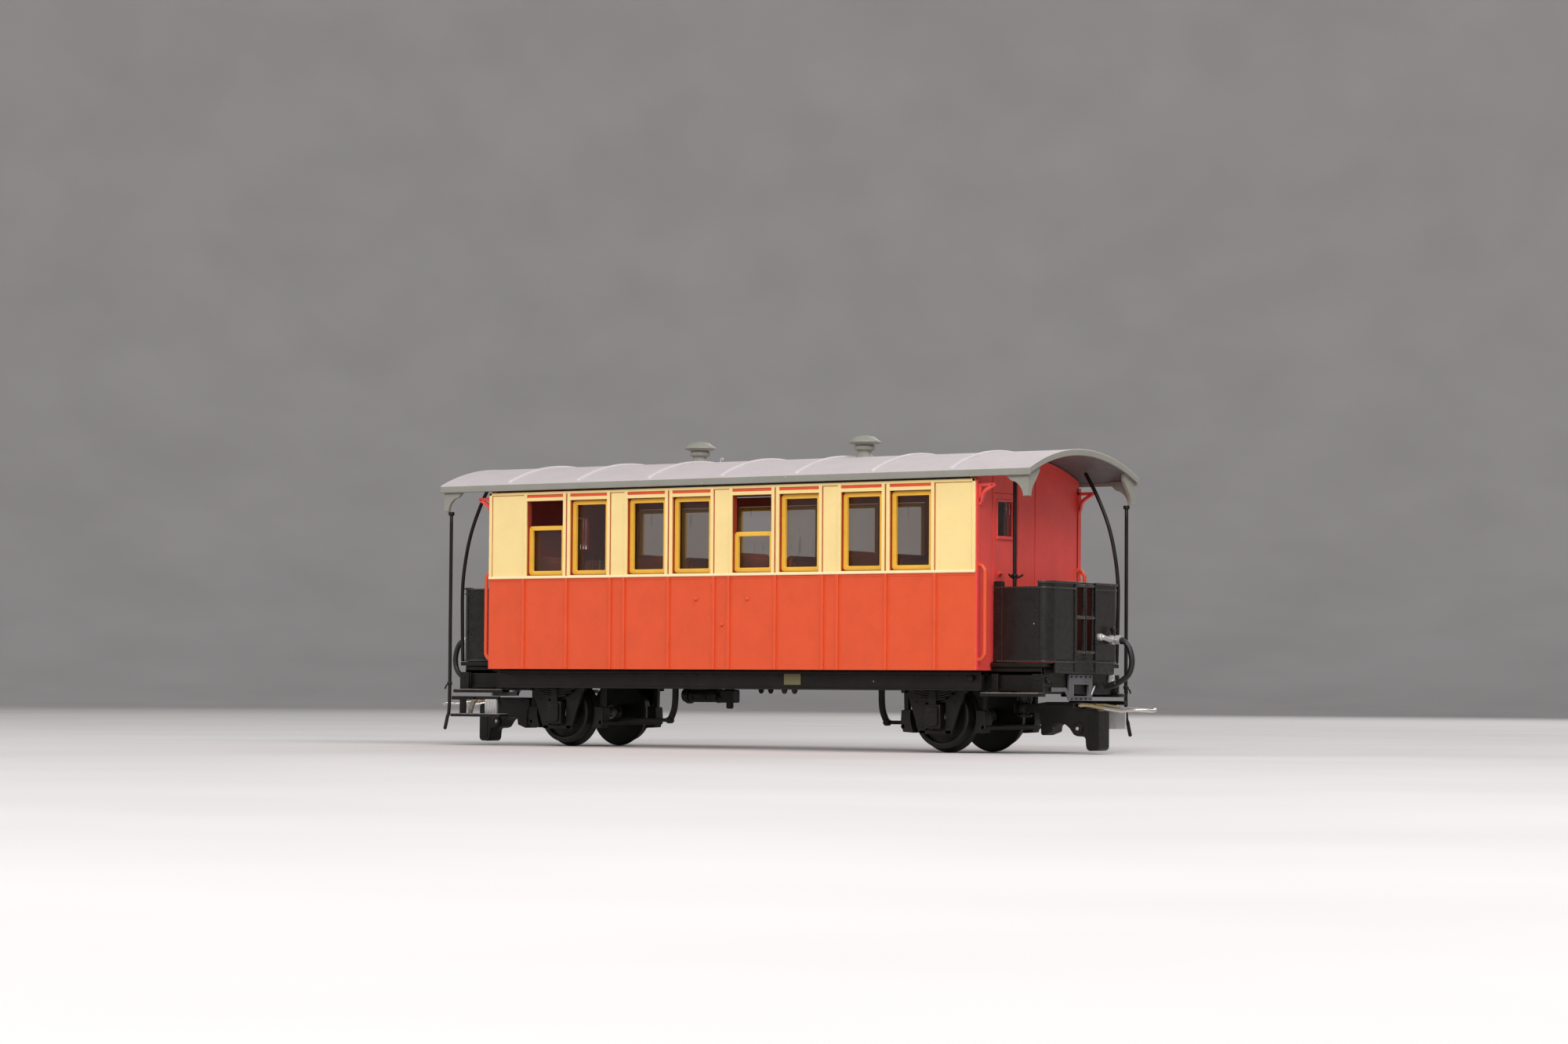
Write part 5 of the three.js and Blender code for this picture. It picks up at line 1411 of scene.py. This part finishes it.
def coach_end(end):
    """Everything of one end, drawn at +X."""

    def fit(name, solids, materials, node, body="coach"):
        nodes = [f"{node}_{end}"] if node else []
        piece(f"{name}_{end}", solids, materials, body, nodes, end)

    # the end wall in the pinker red: painted cool light
    piece(f"end_wall_{end}", end_wall(), [END_RED_COOL_LIT], nodes=["body_shell"], end=end)
    piece(f"platform_{end}", platform_frame(), [BLACK], nodes=["underframe"], end=end)
    fit("door_glass", door_pane(), [GLASS], "door_pane")
    sheet = [SATIN_BLACK, RIM_HIGHLIGHT_BLACK]
    fit("railing_sheet", end_railing(), sheet, "end_railing")
    fit("gate_leaves", gangway_gate(), sheet, "gangway_gate")
    for side, height in ((-1, "low"), (1, "high")):
        panel = f"side_panel_{height}"
        fit(f"{height}_panel", side_panel(f"{panel}_right", side), sheet, panel)
    fit("pole", corner_pole(), [BLACK], "corner_pole")
    fit("stay", roof_stay(), [BLACK], "roof_stay")
    fit("column", brake_column(), [BLACK], "brake_column")
    tread_look = [BLACK, PALE_WEAR_AND_HIGHLIGHT]
    for side in SIDES:
        where = "near" if (side < 0) == (end == "right") else "far"
        at_right = "near" if side < 0 else "far"
        rail = grab_rail(f"grab_rail_{at_right}_right")
        fit(f"handrail_{where}", rail, [RED], f"grab_rail_{where}")
        step = upper_step(f"upper_step_{at_right}_right", side)
        fit(f"step_board_{where}", step, tread_look, f"upper_step_{where}")
    fit("low_step_board", lower_step(), tread_look, "lower_step")
    plate = [BLACK if end == "right" else PALE_STEEL]
    fit("riser_plate", riser_plate(), plate, "lower_step")
    if end == "right":
        fit("step_plate", step_plate(), [PALE_STEEL], "lower_step")
    fit("cock", air_cock(), [PALE_STEEL, SATIN_BLACK], "air_cock")
    fit("hose", brake_hose(), [RUBBER], "brake_hose")
    fit("pierced_plate", coupling_plate(), [ZINC], "coupling_plate")
    fit("plate_rivets", plate_rivets(), [BLACK], "coupling_plate")
    fit("end_fittings", end_fittings(), [PALE_STEEL, BLACK], "coupling_plate")
    coupler, hoop = f"coupler_{end}", f"hoop_{end}"
    fit("coupler_head", coupler_body(), [BLACK, PALE_STEEL], "coupler_body", coupler)
    fit("pivot_pin", coupler_pin(), [DARK_STEEL], "coupler_pin")
    fit("wire_hoop", coupler_hoop(), [BRASS, STEEL, BLACK], "coupler_hoop", hoop)


for end in ENDS:
    running_gear(end)
    coach_end(end)


# ---------------------------------------------------------------- stage
STAGE = {"floor_radius": 1.0, "sweep_radius": 0.5, "wall_height": 1.0}


def backdrop():
    """A round pale floor that curves up into a wall."""
    r, sweep = STAGE["floor_radius"], STAGE["sweep_radius"]
    turns = [math.pi / 2 * i / 16 for i in range(17)]
    curve = [(r + sweep * math.sin(t), sweep * (1 - math.cos(t))) for t in turns]
    profile = [(0.0, 0.0), (r * 0.5, 0.0), *curve, (r + sweep, STAGE["wall_height"])]
    bm = bmesh.new()
    sides = 96
    rings = []
    for radius, height in profile:
        count = sides if radius else 1
        turns = [2 * math.pi * k / sides for k in range(count)]
        rings.append([bm.verts.new((radius * math.cos(t), radius * math.sin(t), height)) for t in turns])
    for low, high in zip(rings, rings[1:]):
        for k in range(sides):
            j = (k + 1) % sides
            corners = [low[k % len(low)], high[k], high[j], low[j % len(low)]]
            bm.faces.new(list(dict.fromkeys(corners)))
    mesh = bpy.data.meshes.new("backdrop")
    bm.to_mesh(mesh)
    bm.free()
    mesh.shade_smooth()
    shader = Shader("pale_paper")
    tone = shader.ranged(shader.noise(0.02, 2.0), 0.3, 0.7, 0.0, 1.0)
    base = shader.mixed(tone, linear(206, 202, 200), linear(214, 210, 208))
    shader.feed(shader.surface.inputs["Base Color"], base)
    shader.surface.inputs["Roughness"].default_value = 0.9
    mesh.materials.append(shader.material)
    made = bpy.data.objects.new("backdrop", mesh)
    bpy.context.scene.collection.objects.link(made)


def softbox(name, place, target, width, height, power, colour=(1, 1, 1)):
    light = bpy.data.lights.new(name, "AREA")
    light.shape, light.size, light.size_y = "RECTANGLE", width, height
    light.energy, light.color = power, colour
    made = bpy.data.objects.new(name, light)
    made.location = place
    made.rotation_euler = (Vector(target) - Vector(place)).to_track_quat("-Z", "Y").to_euler()
    bpy.context.scene.collection.objects.link(made)


CAMERA = {
    "turns": (34.4126, 2.6121, 0.3985),  # yaw to the left, pitch up and roll, in degrees
    "place": (282.82, -411.576, 7.663),
    "sensor": 36.0,
    "lens": 85.35,
}


def camera():
    """Low three-quarter view from the near side, right of the middle."""
    yaw, pitch, roll = (math.radians(a) for a in CAMERA["turns"])
    ahead = Vector((-math.sin(yaw), math.cos(yaw), 0))
    across = Vector((math.cos(yaw), math.sin(yaw), 0))
    up = Vector((0, 0, 1))
    look = ahead * math.cos(pitch) + up * math.sin(pitch)
    over = up * math.cos(pitch) - ahead * math.sin(pitch)
    right = across * math.cos(roll) + over * math.sin(roll)
    top = over * math.cos(roll) - across * math.sin(roll)
    data = bpy.data.cameras.new("camera")
    data.sensor_width, data.lens = CAMERA["sensor"], CAMERA["lens"]
    data.clip_start, data.clip_end = 0.01, 10.0
    made = bpy.data.objects.new("camera", data)
    turn = Matrix((right, top, -look)).transposed().to_4x4()
    place = Matrix.Translation(Vector(CAMERA["place"]) * MM)
    made.matrix_world = place @ turn
    bpy.context.scene.collection.objects.link(made)
    bpy.context.scene.camera = made


def lighting():
    middle = (0, 0, 0.02)
    softbox("key", (0.3, -0.62, 0.42), middle, 0.4, 0.35, 3.6)
    softbox("top", (0.5, -0.12, 0.66), middle, 0.45, 0.45, 3.4)
    softbox("left", (-0.6, -0.4, 0.35), middle, 0.3, 0.3, 1.2)
    softbox("back", (-0.1, 0.7, 0.4), middle, 0.5, 0.4, 1.6)
    world = bpy.data.worlds.new("studio")
    world.use_nodes = True
    background = world.node_tree.nodes["Background"]
    background.inputs["Color"].default_value = (0.9, 0.92, 1.0, 1.0)
    background.inputs["Strength"].default_value = 0.25
    scene = bpy.context.scene
    scene.world = world
    scene.view_settings.view_transform = "Standard"


backdrop()
lighting()
camera()
